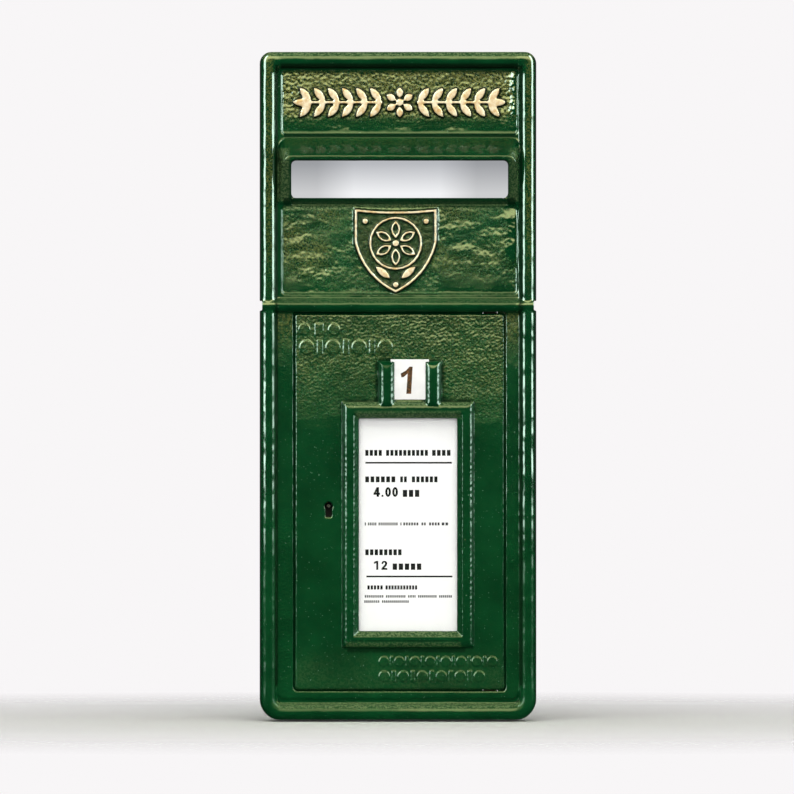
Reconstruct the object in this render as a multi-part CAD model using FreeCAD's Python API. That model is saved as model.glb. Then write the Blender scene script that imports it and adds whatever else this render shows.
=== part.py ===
import FreeCAD, Part
import math
import os

from FreeCAD import Vector

# The cast front of a post box: one open-backed iron front casting with a hooded
# letter slot, and a hinged cast collection door that carries the notice and the lock.
#
# Frame: x runs right, z runs up and the front faces -y. The origin lies on the wall
# plane, in the middle of the four fixing bosses. A height h is a distance in front
# of the wall plane, so a point at height h has y = -h. All sizes are in millimetres.

# Front casting, overall
WIDTH = 236.0
HEIGHT = 570.0
TOP_CORNER = 10.0
BOTTOM_CORNER = 18.0
SIDE_DRAFT = 1.5
CREST = 32.0

# Half-round rim and the wall behind it
RIM_WIDTH = 13.1
RIM_RISE = 8.0
RIM_CORNER = 5.0
RIM_WALL = 6.0
RIM_FLAT = 0.3
PLATE = 5.5

# The pattern inside the rim sits a little right of the middle
SHIFT = 1.4

# Flats round small round details, round rings and washers, and along a leaf's side
ROUND_FLATS = 12
RING_FLATS = 24
LEAF_FLATS = 4
ROUND_TURNS = [number / ROUND_FLATS for number in range(ROUND_FLATS)]
RING_TURNS = [number / RING_FLATS for number in range(RING_FLATS)]

# Recessed fields above the cross bead, counted down from the top rim
HEADER_MARGIN = 2.0
HEADER_HEIGHT = 51.2
FIELD_HEIGHT = 76.0
FIELD_MARGIN = 3.9
FIELD_SIDE = 2.9
FIELD_DEPTH = 2.0
FIELD_CORNER = 4.0
FIELD_FOOT = 1.4

# Hood and letter slot
HOOD_DROP = 25.6
HOOD_REACH = 19.5
COVE_DROP = 8.6
COVE_REACH = 4.2
COVE_BELLY = (0.556, 0.264)
HOOD_LIP = 3.9
HOOD_SHOULDER = 8.0
HOOD_SOFT = 1.6
HOOD_WALL = 5.5
CHEEK_ROOT = 11.8
CHEEK_LIP = 6.4
SLOT_SIDE = 8.35
SLOT_HEIGHT = 31.6
SLOT_CORNER = 4.0
SILL_DROP = 6.4
SILL_SETBACK = 1.0

# Cross bead between the field and the door, with a nick in each side of the casting
CROSS_HEIGHT = 10.7
CROSS_PROUD = 1.0
NICK_DEPTH = 2.7
NICK_HEIGHT = 8.4

# Door opening and the groove round its border
BORDER = 12.9
BOTTOM_BORDER = 10.8
GROOVE_DEPTH = 1.2
GROOVE_BOTTOM = 5.0
DOOR_GAP = 1.5
LEDGE_LAP = 3.0
LEDGE_TIE = 6.0
LEDGE_THICK = 4.2
LEDGE_END = 0.3
LEDGE_CLEAR = 0.3
LIP_REACH = 2.3
LIP_THICK = 3.0
LIP_ROOT = 5.9
LIP_CLEAR = 0.5

# Fixing bosses behind the corners
BOSS_INSET = 13.0
BOSS_RADIUS = 8.0
BOSS_CORE = 3.4
BOSS_FLOOR = 2.5

# Door casting
DOOR_THICK = 6.0
DOOR_CORNER = 2.5
DOOR_SOFT = 1.2

# Hinges
PIN_INSET = 12.0
PIN_SETBACK = 3.2
PIN_RADIUS = 2.5
PIN_FIT = 0.05
PIN_HEAD_RADIUS = 3.3
PIN_HEAD = 2.0
PIN_ENGAGE = 12.5
KNUCKLE_RADIUS = 6.0
KNUCKLE_LENGTH = 16.5
EAR_RADIUS = 6.5
EAR_LENGTH = 12.5
EAR_FLOOR = 2.0
WASHER_THICK = 1.4
WASHER_RADIUS = 5.9
WASHER_FIT = 0.2
SWEEP_CLEAR = 0.5

# Lock: a sheet case with its cap, a dead bolt and the parts that guide it
LOCK_INSET = 4.4
LOCK_WIDTH = 37.7
LOCK_HEIGHT = 36.0
LOCK_FLANGE = 7.0
LOCK_SHEET = 1.2
LOCK_WALL = 1.5
KEY_SETBACK = 24.2
KEY_DROP = 163.5
KEY_RISE_IN_CASE = 15.5
KEY_RADIUS = 3.5
KEY_SLOT = 5.2
KEY_SLOT_DROP = 9.5
BOLT_HEIGHT = 12.0
BOLT_THICK = 5.0
BOLT_RISE = 2.5
BOLT_THROW = 8.0
BOLT_PROUD = 0.2
BOLT_CLEAR = 0.6
BOLT_FIT = 0.3
BOLT_BACK_CLEAR = 1.1
TALON_WIDTH = 9.0
TALON_DEPTH = 4.5
NOTCH_DEPTH = 1.2
NOTCH_WIDTH = 4.4
STUD_RADIUS = 1.5
STUD_FIT = 0.2
STUD_OFFSET = 3.0
STUD_RISE = 10.0
SPRING_SHEET = 0.6
SPRING_WIDTH = 4.0
SPRING_NOSE = 7.0
SPRING_SPREAD = 2.6
SPRING_FIT = 0.1
LOCK_POST = 2.6
LOCK_POST_BITE = 0.6
LOCK_SCREW_RADIUS = 1.9
LOCK_SCREW_HEAD = 3.2
LOCK_SCREW_HEAD_HEIGHT = 1.8
LOCK_SCREW_DEPTH = 4.5
CAP_SCREW_RADIUS = 1.2
CAP_SCREW_HEAD = 2.2
CAP_SCREW_HEAD_HEIGHT = 1.2
SCREW_FIT = 0.1
SCREW_INSET = 3.6

# Notice frame on the door, and what it holds
NOTICE_GAP = 2.3
NOTICE_MARGIN = 26.2
NOTICE_TOP_DROP = 75.2
NOTICE_BOTTOM_RISE = 35.8
NOTICE_FACE = 14.0
NOTICE_RISE = 6.0
NOTICE_ROUND = 5.2
NOTICE_BEVEL = 4.6
SEAT_LAP = 4.0
SEAL = 0.8
SEAL_INSET = 1.0
GLASS = 2.0
CARD = 0.5
CARD_CLEAR = 0.2
GLASS_CLEAR = 0.3
BACK_PLATE = 1.2
BACK_LAP = 6.0
PLATE_SCREW_RADIUS = 1.5
PLATE_SCREW_HEAD = 2.6
PLATE_SCREW_HEAD_HEIGHT = 1.4
PLATE_SCREW_DEPTH = 3.5

# Tablet and the two uprights that hold it
TABLET_VIEW = 24.9
TABLET_OFFSET = 1.5
TABLET_HEIGHT = 34.1
TABLET_THICK = 2.4
TABLET_LAP = 3.8
TABLET_FIT = 0.3
TABLET_SEAT = 2.2
UPRIGHT_WIDTH = 14.4
UPRIGHT_RISE = 7.0
UPRIGHT_FLAT = 0.6
UPRIGHT_SHORT = 1.4
SEAT_DROP = 1.2

# Cream leaf frieze in the header
FRIEZE_RISE = 2.5
FRIEZE_HEIGHT = 25.7
FRIEZE_SIDE = 8.8
FRIEZE_DROP = 1.7
FRIEZE_PAIRS = 6
LEAF_LENGTH = 15.5
LEAF_WIDTH = 6.2
LEAF_ANGLE = 52.0
BRANCH_ANGLE = 90.0
STEM_WIDTH = 1.8
LEAF_BITE = 0.6
ROSETTE_PETALS = 6
ROSETTE_EYE = 3.0
PETAL_START = 3.8
PETAL_WIDTH = 6.0

# Shield with a six-petalled wheel in raised lines, in the lower field
SHIELD_WIDTH = 72.0
SHIELD_RISE = 1.6
SHIELD_DROP = 2.0
SHIELD_FOOT = 0.5
SHIELD_OFFSET = -3.4
SHIELD_LINE = 1.5
RING_LINE = 1.3
SHIELD_LINE_RISE = 1.2
SHIELD_EDGE = 1.4
PETAL_LINE = 1.1

# Shield and wheel sizes as shares of the shield's height, counted up from its tip
SHIELD_SHOULDER = 0.60
SHIELD_DIP = 0.97
SHIELD_BULGE = (0.317, 0.235)
WHEEL_PLACE = 0.600
WHEEL_RADIUS = 0.310
WHEEL_PETALS = 6
WHEEL_EYE = 0.035
WHEEL_START = 0.060
WHEEL_PETAL = (0.205, 0.105)
SPRIG_PLACE = (0.068, 0.185)
SPRIG_SIZE = (0.215, 0.075)
SPRIG_LEAN = 50.0
PELLETS = ((0.0, 0.110), (0.360, 0.860))
PELLET_RADIUS = 0.030

# Low relief rows on the door, each as (inset, length, drop, height)
ROW_RISE = 0.8
ROW_PITCH = 1.6
ROW_REEL = 0.22
UPPER_ROWS = ((3.0, 35.1, 8.6, 9.7), (4.0, 78.9, 22.4, 12.2))
LOWER_ROWS = ((6.1, 100.5, 7.7, 8.3), (16.7, 89.9, 20.0, 9.1))

# Worked-out places, front casting
HALF_WIDTH = WIDTH / 2
HALF_HEIGHT = HEIGHT / 2
FACE = CREST - RIM_RISE
FIELD = FACE - FIELD_DEPTH
REAR = FACE - PLATE
INNER_HALF = HALF_WIDTH - SIDE_DRAFT - RIM_WIDTH
INNER_TOP = HALF_HEIGHT - SIDE_DRAFT - RIM_WIDTH
FIELD_HALF = INNER_HALF - FIELD_SIDE
HEADER_TOP = INNER_TOP - HEADER_MARGIN
HOOD_TOP = HEADER_TOP - HEADER_HEIGHT
SLOT_TOP = HOOD_TOP - HOOD_DROP
SLOT_BOTTOM = SLOT_TOP - SLOT_HEIGHT
SLOT_HALF = FIELD_HALF - SLOT_SIDE
FIELD_TOP = SLOT_BOTTOM - SILL_DROP
FIELD_BOTTOM = FIELD_TOP - FIELD_HEIGHT
CROSS_TOP = FIELD_BOTTOM - FIELD_MARGIN
CROSS_BOTTOM = CROSS_TOP - CROSS_HEIGHT
CROSS_MIDDLE = (CROSS_TOP + CROSS_BOTTOM) / 2
CROSS_HALF = HALF_WIDTH - NICK_DEPTH
LIP = FACE + HOOD_REACH
BOSS_X = HALF_WIDTH - BOSS_INSET
BOSS_Z = HALF_HEIGHT - BOSS_INSET
FRONT_CLEAR = LIP + PLATE
BEHIND = -PLATE
OPENING = (
    SHIFT - INNER_HALF + BORDER,
    SHIFT + INNER_HALF - BORDER,
    BOTTOM_BORDER - INNER_TOP,
    CROSS_BOTTOM,
)

# Worked-out places, door
DOOR = (
    OPENING[0] + DOOR_GAP,
    OPENING[1] - DOOR_GAP,
    OPENING[2] + DOOR_GAP,
    OPENING[3] - DOOR_GAP,
)
DOOR_REAR = FACE - DOOR_THICK
SEAT = DOOR_REAR + SEAL + GLASS + CARD + CARD_CLEAR
PIN_X = DOOR[1] - PIN_INSET
PIN_H = DOOR_REAR - PIN_SETBACK
CORNER_SWEEP = math.hypot(PIN_INSET, FACE - PIN_H - DOOR_SOFT)
LIP_SWEEP = math.hypot(PIN_INSET + LIP_REACH, PIN_SETBACK)
SWEEP = max(CORNER_SWEEP, LIP_SWEEP)
LEDGE_FRONT = DOOR_REAR - LEDGE_CLEAR
LEDGE_REAR = LEDGE_FRONT - LEDGE_THICK

# Worked-out places, lock
CASE_LEFT = DOOR[0] + LOCK_INSET
CASE_RIGHT = CASE_LEFT + LOCK_WIDTH
KEY_X = CASE_LEFT + KEY_SETBACK
KEY_Z = DOOR[3] - KEY_DROP
CASE = (CASE_LEFT, CASE_RIGHT, KEY_Z - KEY_RISE_IN_CASE, KEY_Z - KEY_RISE_IN_CASE + LOCK_HEIGHT)
BOLT_FRONT = LEDGE_REAR - BOLT_CLEAR
BOLT_REAR = BOLT_FRONT - BOLT_THICK
CASE_FRONT = DOOR_REAR - LOCK_SHEET
CASE_REAR = BOLT_REAR - BOLT_BACK_CLEAR
CAP_REAR = CASE_REAR - LOCK_SHEET
BOLT = (
    CASE_LEFT - BOLT_PROUD,
    CASE_RIGHT - LOCK_WALL - BOLT_BACK_CLEAR,
    KEY_Z + BOLT_RISE,
    KEY_Z + BOLT_RISE + BOLT_HEIGHT,
)
STUD_X = KEY_X - STUD_OFFSET
STUD_Z = KEY_Z + STUD_RISE
NOSE_X = KEY_X - SPRING_NOSE

# Worked-out places, notice
BACK_LEFT = CASE_RIGHT + NOTICE_GAP
VIEW = (
    BACK_LEFT + BACK_LAP + SEAT_LAP,
    DOOR[1] - NOTICE_MARGIN - NOTICE_FACE,
    DOOR[2] + NOTICE_BOTTOM_RISE + NOTICE_FACE,
    DOOR[3] - NOTICE_TOP_DROP - NOTICE_FACE,
)
NOTICE_CREST = FACE + NOTICE_RISE
TABLET_X = (VIEW[0] + VIEW[1]) / 2 + TABLET_OFFSET
TABLET_FOOT = VIEW[3] + NOTICE_FACE + TABLET_SEAT


def at(x, h, z):
    """The point x right, h in front of the wall and z up."""
    return Vector(x, -h, z)


def grow(box, by):
    """A box (left, right, bottom, top) moved out on every side."""
    return (box[0] - by, box[1] + by, box[2] - by, box[3] + by)


def outline(box, h, low=0.0, high=0.0):
    """A rectangle at height h, with its lower and upper corners rounded."""
    x0, x1, z0, z1 = box
    corners = [
        (x0, z0, 1, 1, low, True),
        (x1, z0, -1, 1, low, False),
        (x1, z1, -1, -1, high, True),
        (x0, z1, 1, -1, high, False),
    ]
    stops = []
    for x, z, side, rise, radius, upright_first in corners:
        near = radius * (1 - math.sqrt(0.5))
        upright = at(x, h, z + rise * radius)
        level = at(x + side * radius, h, z)
        middle = at(x + side * near, h, z + rise * near)
        if upright_first:
            stops.append((upright, middle, level, radius))
        else:
            stops.append((level, middle, upright, radius))
    edges = []
    for this, following in zip(stops, stops[1:] + stops[:1]):
        if this[3] > 0:
            edges.append(Part.Arc(this[0], this[1], this[2]).toShape())
        edges.append(Part.makeLine(this[2], following[0]))
    return Part.Wire(edges)


def raised(wire, rise):
    """A solid on a flat outline, drawn forward by rise."""
    return Part.Face(wire).extrude(Vector(0, -rise, 0))


def slab(box, h0, h1, low=0.0, high=0.0):
    """A rounded plate between two heights."""
    return raised(outline(box, h0, low, high), h1 - h0)


def tapered(box0, h0, box1, h1, low, high, change):
    """A rounded plate whose outline and corners change from h0 to h1."""
    back = outline(box0, h0, low, high)
    front = outline(box1, h1, low + change, high + change)
    return Part.makeLoft([back, front], True, True)


def along_x(points, x0, x1):
    """A solid whose section is drawn as (h, z) points, swept from x0 to x1."""
    corners = [at(x0, h, z) for h, z in points]
    section = Part.Face(Part.makePolygon(corners + corners[:1]))
    return section.extrude(Vector(x1 - x0, 0, 0))


def drawn(points, h0, h1):
    """A solid whose outline is drawn as (x, z) points, from h0 to h1."""
    corners = [at(x, h0, z) for x, z in points]
    return raised(Part.makePolygon(corners + corners[:1]), h1 - h0)


def peg(x, z, h0, h1, radius):
    """A round bar that points away from the wall."""
    return Part.makeCylinder(radius, h1 - h0, at(x, h0, z), Vector(0, -1, 0))


def around(radius, turns):
    """The corners of a many-sided outline about the origin."""
    angles = [2 * math.pi * turn for turn in turns]
    return [(radius * math.sin(angle), radius * math.cos(angle)) for angle in angles]


def boss(x, z, h0, h1, radius, turns=ROUND_TURNS):
    """A many-sided bar that points away from the wall."""
    return drawn([(x + across, z + up) for across, up in around(radius, turns)], h0, h1)


def hinge_rod(z0, z1, radius):
    """A round upright bar on the hinge line."""
    return Part.makeCylinder(radius, z1 - z0, at(PIN_X, PIN_H, z0), Vector(0, 0, 1))


def hinge_collar(z0, z1, radius):
    """A many-sided upright bar on the hinge line."""
    corners = [at(PIN_X + x, PIN_H + h, z0) for x, h in around(radius, RING_TURNS)]
    return Part.Face(Part.makePolygon(corners + corners[:1])).extrude(Vector(0, 0, z1 - z0))


def edges_at(shape, h):
    """The edges that lie wholly at height h."""
    near = 1e-4
    level = []
    for edge in shape.Edges:
        box = edge.BoundBox
        if abs(box.YMin + h) < near and abs(box.YMax + h) < near:
            level.append(edge)
    return level


def leaf(x, z, length, width, angle, h0, h1):
    """A leaf with two arched sides, starting at (x, z) and leaning angle from upright."""
    turn = math.radians(angle)
    there = [(1, step / LEAF_FLATS) for step in range(LEAF_FLATS)]
    back = [(-1, 1 - share) for _, share in there]
    points = []
    for side, share in there + back:
        ahead = length * share
        aside = side * 2 * width * share * (1 - share)
        across = ahead * math.sin(turn) + aside * math.cos(turn)
        points.append((x + across, z + ahead * math.cos(turn) - aside * math.sin(turn)))
    return drawn(points, h0, h1)


def leaf_line(x, z, length, width, angle, line, h0, h1):
    """The outline of a leaf, drawn as a raised line."""
    turn = math.radians(angle)
    tip = line / math.sin(math.atan(2 * width / length))
    inner_x = x + tip * math.sin(turn)
    inner_z = z + tip * math.cos(turn)
    inner_size = (length - 2 * tip, width - 2 * line)
    inner = leaf(inner_x, inner_z, *inner_size, angle, h0 - line, h1 + line)
    return leaf(x, z, length, width, angle, h0, h1).cut(inner)


def keyhole(h0, h1):
    """The keyhole as a solid to cut away: a round eye above a short slot."""
    eye = peg(KEY_X, KEY_Z, h0, h1, KEY_RADIUS)
    half = KEY_SLOT / 2
    slot = slab((KEY_X - half, KEY_X + half, KEY_Z - KEY_SLOT_DROP, KEY_Z), h0, h1)
    return eye.fuse(slot)


def rim_body():
    """The drafted outer block with its half-round rim, hollow behind and recessed in front."""
    foot = (-HALF_WIDTH, HALF_WIDTH, -HALF_HEIGHT, HALF_HEIGHT)
    crest = grow(foot, -SIDE_DRAFT)
    block = tapered(foot, 0, crest, CREST, BOTTOM_CORNER, TOP_CORNER, -SIDE_DRAFT)
    hollow = slab(
        grow(foot, -RIM_WALL), BEHIND, REAR, BOTTOM_CORNER - RIM_WALL, TOP_CORNER - RIM_WALL
    )
    recess = slab(grow(crest, -RIM_WIDTH), FACE, FRONT_CLEAR, RIM_CORNER, RIM_CORNER)
    body = block.cut(hollow).cut(recess)
    round_off = min(RIM_WIDTH / 2, RIM_RISE) - RIM_FLAT
    return body.makeFillet(round_off, edges_at(body, CREST))


def border_groove():
    """The groove that runs between the rim and the flat border of the door opening."""
    outer = (-INNER_HALF, INNER_HALF, -INNER_TOP, CROSS_MIDDLE)
    floor = FACE - GROOVE_DEPTH
    ring = slab(outer, floor, FACE + GROOVE_DEPTH, RIM_CORNER, 0)
    top = (
        GROOVE_DEPTH - INNER_HALF,
        INNER_HALF - GROOVE_DEPTH,
        GROOVE_BOTTOM - INNER_TOP,
        CROSS_TOP,
    )
    low = grow(top, GROOVE_DEPTH)
    high = grow(top, -GROOVE_DEPTH)
    full = RIM_CORNER + 2 * GROOVE_DEPTH
    flank = tapered(low, floor, high, FACE + GROOVE_DEPTH, full, full, -2 * GROOVE_DEPTH)
    return ring.cut(flank)


def field_cut(bottom, top):
    """A shallow field with a bevelled foot, as a solid to cut away."""
    box = (SHIFT - FIELD_HALF, SHIFT + FIELD_HALF, bottom, top)
    cut = slab(box, FIELD, FACE + FIELD_DEPTH, FIELD_CORNER, FIELD_CORNER)
    return cut.makeChamfer(FIELD_FOOT, edges_at(cut, FIELD))


def cross_bead():
    """The half-round bead that crosses the casting above the door."""
    radius = CROSS_HEIGHT / 2
    spring = CREST + CROSS_PROUD - radius
    root = REAR
    start = at(-CROSS_HALF, root, CROSS_BOTTOM)
    low = at(-CROSS_HALF, spring, CROSS_BOTTOM)
    crown = at(-CROSS_HALF, CREST + CROSS_PROUD, CROSS_MIDDLE)
    high = at(-CROSS_HALF, spring, CROSS_TOP)
    end = at(-CROSS_HALF, root, CROSS_TOP)
    arch = Part.Arc(low, crown, high).toShape()
    edges = [Part.makeLine(start, low), arch, Part.makeLine(high, end), Part.makeLine(end, start)]
    return Part.Face(Part.Wire(edges)).extrude(Vector(2 * CROSS_HALF, 0, 0))


def side_nicks():
    """The shallow nick in each side of the casting at the cross bead."""
    half = NICK_HEIGHT / 2
    right = (CROSS_HALF, HALF_WIDTH + NICK_DEPTH, CROSS_MIDDLE - half, CROSS_MIDDLE + half)
    left = (-right[1], -right[0], right[2], right[3])
    return [slab(box, BEHIND, FRONT_CLEAR) for box in (left, right)]


def hood_top():
    """The (h, z) stops of the hood's top: cove root, cove middle, cove foot and lip."""
    root = (FIELD, HOOD_TOP)
    belly = (FIELD + COVE_BELLY[1] * COVE_REACH, HOOD_TOP - COVE_BELLY[0] * COVE_DROP)
    foot = (FIELD + COVE_REACH, HOOD_TOP - COVE_DROP)
    lip = (LIP, SLOT_TOP + HOOD_LIP)
    return root, belly, foot, lip


def hood():
    """The hood over the slot with its two cheeks, before the slot is cut."""
    wide = SLOT_HALF + CHEEK_ROOT
    narrow = SLOT_HALF + CHEEK_LIP
    root, belly, foot, lip = [at(SHIFT - wide, *stop) for stop in hood_top()]
    nose = at(SHIFT - wide, LIP, SLOT_TOP)
    toe = at(SHIFT - wide, FACE, FIELD_TOP)
    heel = at(SHIFT - wide, REAR, FIELD_TOP)
    top = at(SHIFT - wide, REAR, HOOD_TOP)
    edges = [Part.Arc(root, belly, foot).toShape()]
    corners = [foot, lip, nose, toe, heel, top, root]
    for this, following in zip(corners, corners[1:]):
        edges.append(Part.makeLine(this, following))
    block = Part.Face(Part.Wire(edges)).extrude(Vector(2 * wide, 0, 0))
    plan = [
        at(SHIFT - wide, REAR, FIELD_BOTTOM),
        at(SHIFT + wide, REAR, FIELD_BOTTOM),
        at(SHIFT + narrow, LIP, FIELD_BOTTOM),
        at(SHIFT - narrow, LIP, FIELD_BOTTOM),
    ]
    wedge = Part.Face(Part.makePolygon(plan + plan[:1])).extrude(
        Vector(0, 0, HEADER_TOP - FIELD_BOTTOM)
    )
    return soften_hood(block.common(wedge))


def soften_hood(solid):
    """Round the shoulders of the hood, then its lip and the fronts of its cheeks."""
    foot_h, foot_z = hood_top()[2]
    near = HOOD_SOFT
    shoulders = []
    for edge in solid.Edges:
        box = edge.BoundBox
        from_foot = abs(-box.YMax - foot_h) < near and abs(box.ZMax - foot_z) < near
        if from_foot and -box.YMin > LIP - near and box.XLength < CHEEK_ROOT:
            shoulders.append(edge)
    solid = solid.makeFillet(HOOD_SHOULDER, shoulders)
    lips = []
    for edge in solid.Edges:
        box = edge.BoundBox
        if -box.YMin > LIP - near and box.XLength > SLOT_HALF:
            lips.append(edge)
    return solid.makeFillet(HOOD_SOFT, lips)


def hood_core():
    """The hollow in the back of the hood, which keeps its wall even."""
    _, _, foot, lip = hood_top()
    slope = (foot[1] - lip[1]) / (lip[0] - foot[0])
    floor = SLOT_TOP + HOOD_WALL
    top = foot[1] - HOOD_WALL * math.hypot(1, slope)
    section = [
        (REAR - HOOD_WALL, floor),
        (foot[0] + (top - floor) / slope, floor),
        (foot[0], top),
        (REAR - HOOD_WALL, top),
    ]
    return along_x(section, SHIFT - SLOT_HALF, SHIFT + SLOT_HALF)


def slot_cuts():
    """The letter slot, and the sloping sill in front of it."""
    box = (SHIFT - SLOT_HALF, SHIFT + SLOT_HALF, SLOT_BOTTOM, SLOT_TOP)
    slot = slab(box, BEHIND, FRONT_CLEAR, SLOT_CORNER, SLOT_CORNER)
    sill = [
        (REAR + SILL_SETBACK, SLOT_BOTTOM),
        (FACE - SILL_SETBACK, FIELD_TOP),
        (FRONT_CLEAR, FIELD_TOP),
        (FRONT_CLEAR, SLOT_BOTTOM + SLOT_CORNER),
        (FACE, SLOT_BOTTOM + SLOT_CORNER),
    ]
    return [slot, along_x(sill, box[0], box[1])]


def stop_ledge():
    """The ledge behind the free edge of the door, which the door closes on."""
    outer = grow(OPENING, LEDGE_TIE)
    inner = grow(DOOR, -LEDGE_LAP)
    end = PIN_X - KNUCKLE_RADIUS - LEDGE_END
    ledge = slab((outer[0], end, outer[2], outer[3]), LEDGE_REAR, REAR + LEDGE_CLEAR)
    ledge = ledge.cut(slab((inner[0], end + LEDGE_TIE, inner[2], inner[3]), BEHIND, FACE))
    return ledge.cut(slab(OPENING, LEDGE_FRONT, FACE))


def hinge_ear(z0, z1):
    """A lug behind the plate that holds a hinge pin."""
    barrel = hinge_rod(z0, z1, EAR_RADIUS)
    web = slab((PIN_X - EAR_RADIUS, PIN_X + EAR_RADIUS, z0, z1), PIN_H, FIELD)
    return barrel.fuse(web)


def fixing_bosses():
    """Four bosses behind the corners, level with the wall."""
    bosses = []
    for x in (-BOSS_X, BOSS_X):
        for z in (-BOSS_Z, BOSS_Z):
            bosses.append(boss(x, z, 0, FIELD, BOSS_RADIUS))
    return bosses


def fixing_cores():
    """The tapped holes in the fixing bosses."""
    cores = []
    for x in (-BOSS_X, BOSS_X):
        for z in (-BOSS_Z, BOSS_Z):
            cores.append(peg(x, z, -BOSS_FLOOR, REAR - BOSS_FLOOR, BOSS_CORE))
    return cores


def leaf_frieze():
    """A leafy branch each side of a rosette, in one raised layer in the header."""
    middle = (HEADER_TOP + HOOD_TOP) / 2 - FRIEZE_DROP
    top = FIELD + FRIEZE_RISE
    pieces = [boss(SHIFT, middle, FIELD, top, ROSETTE_EYE)]
    petal = FRIEZE_HEIGHT / 2 - PETAL_START
    for number in range(ROSETTE_PETALS):
        angle = 360.0 / ROSETTE_PETALS * number
        turn = math.radians(angle)
        x = SHIFT + PETAL_START * math.sin(turn)
        z = middle + PETAL_START * math.cos(turn)
        pieces.append(leaf(x, z, petal, PETAL_WIDTH, angle, FIELD, top))
    for side in (-1, 1):
        pieces += leaf_branch(side, middle, top)
    return pieces


def leaf_branch(side, middle, top):
    """One half of the frieze: a stem, its paired leaves and the leaf at its end."""
    reach = FIELD_HALF - FRIEZE_SIDE
    start = FRIEZE_HEIGHT / 2 + STEM_WIDTH
    end = reach - LEAF_LENGTH
    half = STEM_WIDTH / 2
    ends = sorted((SHIFT + side * start, SHIFT + side * end))
    pieces = [slab((ends[0], ends[1], middle - half, middle + half), FIELD, top)]
    tip_x = SHIFT + side * (end - LEAF_BITE)
    pieces.append(leaf(tip_x, middle, LEAF_LENGTH, LEAF_WIDTH, side * BRANCH_ANGLE, FIELD, top))
    first = start + half
    last = end - half
    for number in range(FRIEZE_PAIRS):
        x = SHIFT + side * (first + (last - first) * number / (FRIEZE_PAIRS - 1))
        for rise in (-1, 1):
            lean = side * (BRANCH_ANGLE - rise * LEAF_ANGLE)
            z = middle + rise * (half - LEAF_BITE)
            pieces.append(leaf(x, z, LEAF_LENGTH, LEAF_WIDTH, lean, FIELD, top))
    return pieces


def shield_outline(h):
    """A shield with a hollow top and sides that sweep down to a point."""
    x = SHIFT + SHIELD_OFFSET
    half = SHIELD_WIDTH / 2
    tall = FIELD_HEIGHT - SHIELD_DROP - SHIELD_FOOT
    tip = FIELD_BOTTOM + SHIELD_FOOT
    top = tip + tall
    dip = tip + SHIELD_DIP * tall
    shoulder = tip + SHIELD_SHOULDER * tall
    bulge_x = SHIELD_BULGE[0] * SHIELD_WIDTH
    bulge_z = tip + SHIELD_BULGE[1] * tall
    edges = [
        Part.Arc(at(x - half, h, top), at(x, h, dip), at(x + half, h, top)).toShape(),
        Part.makeLine(at(x + half, h, top), at(x + half, h, shoulder)),
        Part.Arc(at(x + half, h, shoulder), at(x + bulge_x, h, bulge_z), at(x, h, tip)).toShape(),
        Part.Arc(at(x, h, tip), at(x - bulge_x, h, bulge_z), at(x - half, h, shoulder)).toShape(),
        Part.makeLine(at(x - half, h, shoulder), at(x - half, h, top)),
    ]
    return Part.Wire(edges)


def shield():
    """The shield plaque, its border line and the ornament that fills it."""
    plaque = raised(shield_outline(FIELD), SHIELD_RISE)
    base = FIELD + SHIELD_RISE
    wire = shield_outline(base)
    outer = wire.makeOffset2D(-SHIELD_EDGE)
    inner = wire.makeOffset2D(-SHIELD_EDGE - SHIELD_LINE)
    line = raised(outer, SHIELD_LINE_RISE).cut(raised(inner, SHIELD_LINE_RISE))
    return [plaque, line] + shield_ornament(base, base + SHIELD_LINE_RISE)


def shield_ornament(base, top):
    """Six petals in a ring, two leaves below it and three pellets."""
    unit = min(SHIELD_WIDTH, FIELD_HEIGHT - SHIELD_DROP - SHIELD_FOOT)
    x = SHIFT + SHIELD_OFFSET
    tip = FIELD_BOTTOM + SHIELD_FOOT
    wheel_z = tip + WHEEL_PLACE * unit
    radius = WHEEL_RADIUS * unit
    ring = boss(x, wheel_z, base, top, radius, RING_TURNS)
    pieces = [ring.cut(boss(x, wheel_z, base, top, radius - RING_LINE, RING_TURNS))]
    pieces.append(boss(x, wheel_z, base, top, WHEEL_EYE * unit))
    for number in range(WHEEL_PETALS):
        angle = 360.0 / WHEEL_PETALS * number
        petal_x = x + WHEEL_START * unit * math.sin(math.radians(angle))
        petal_z = wheel_z + WHEEL_START * unit * math.cos(math.radians(angle))
        size = (WHEEL_PETAL[0] * unit, WHEEL_PETAL[1] * unit)
        pieces.append(leaf_line(petal_x, petal_z, *size, angle, PETAL_LINE, base, top))
    for side in (-1, 1):
        sprig_x = x + side * SPRIG_PLACE[0] * unit
        sprig_z = tip + SPRIG_PLACE[1] * unit
        size = (SPRIG_SIZE[0] * unit, SPRIG_SIZE[1] * unit)
        pieces.append(leaf(sprig_x, sprig_z, *size, side * SPRIG_LEAN, base, top))
    for across, up in PELLETS:
        for side in sorted({-across, across}):
            pieces.append(boss(x + side * unit, tip + up * unit, base, top, PELLET_RADIUS * unit))
    return pieces


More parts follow.
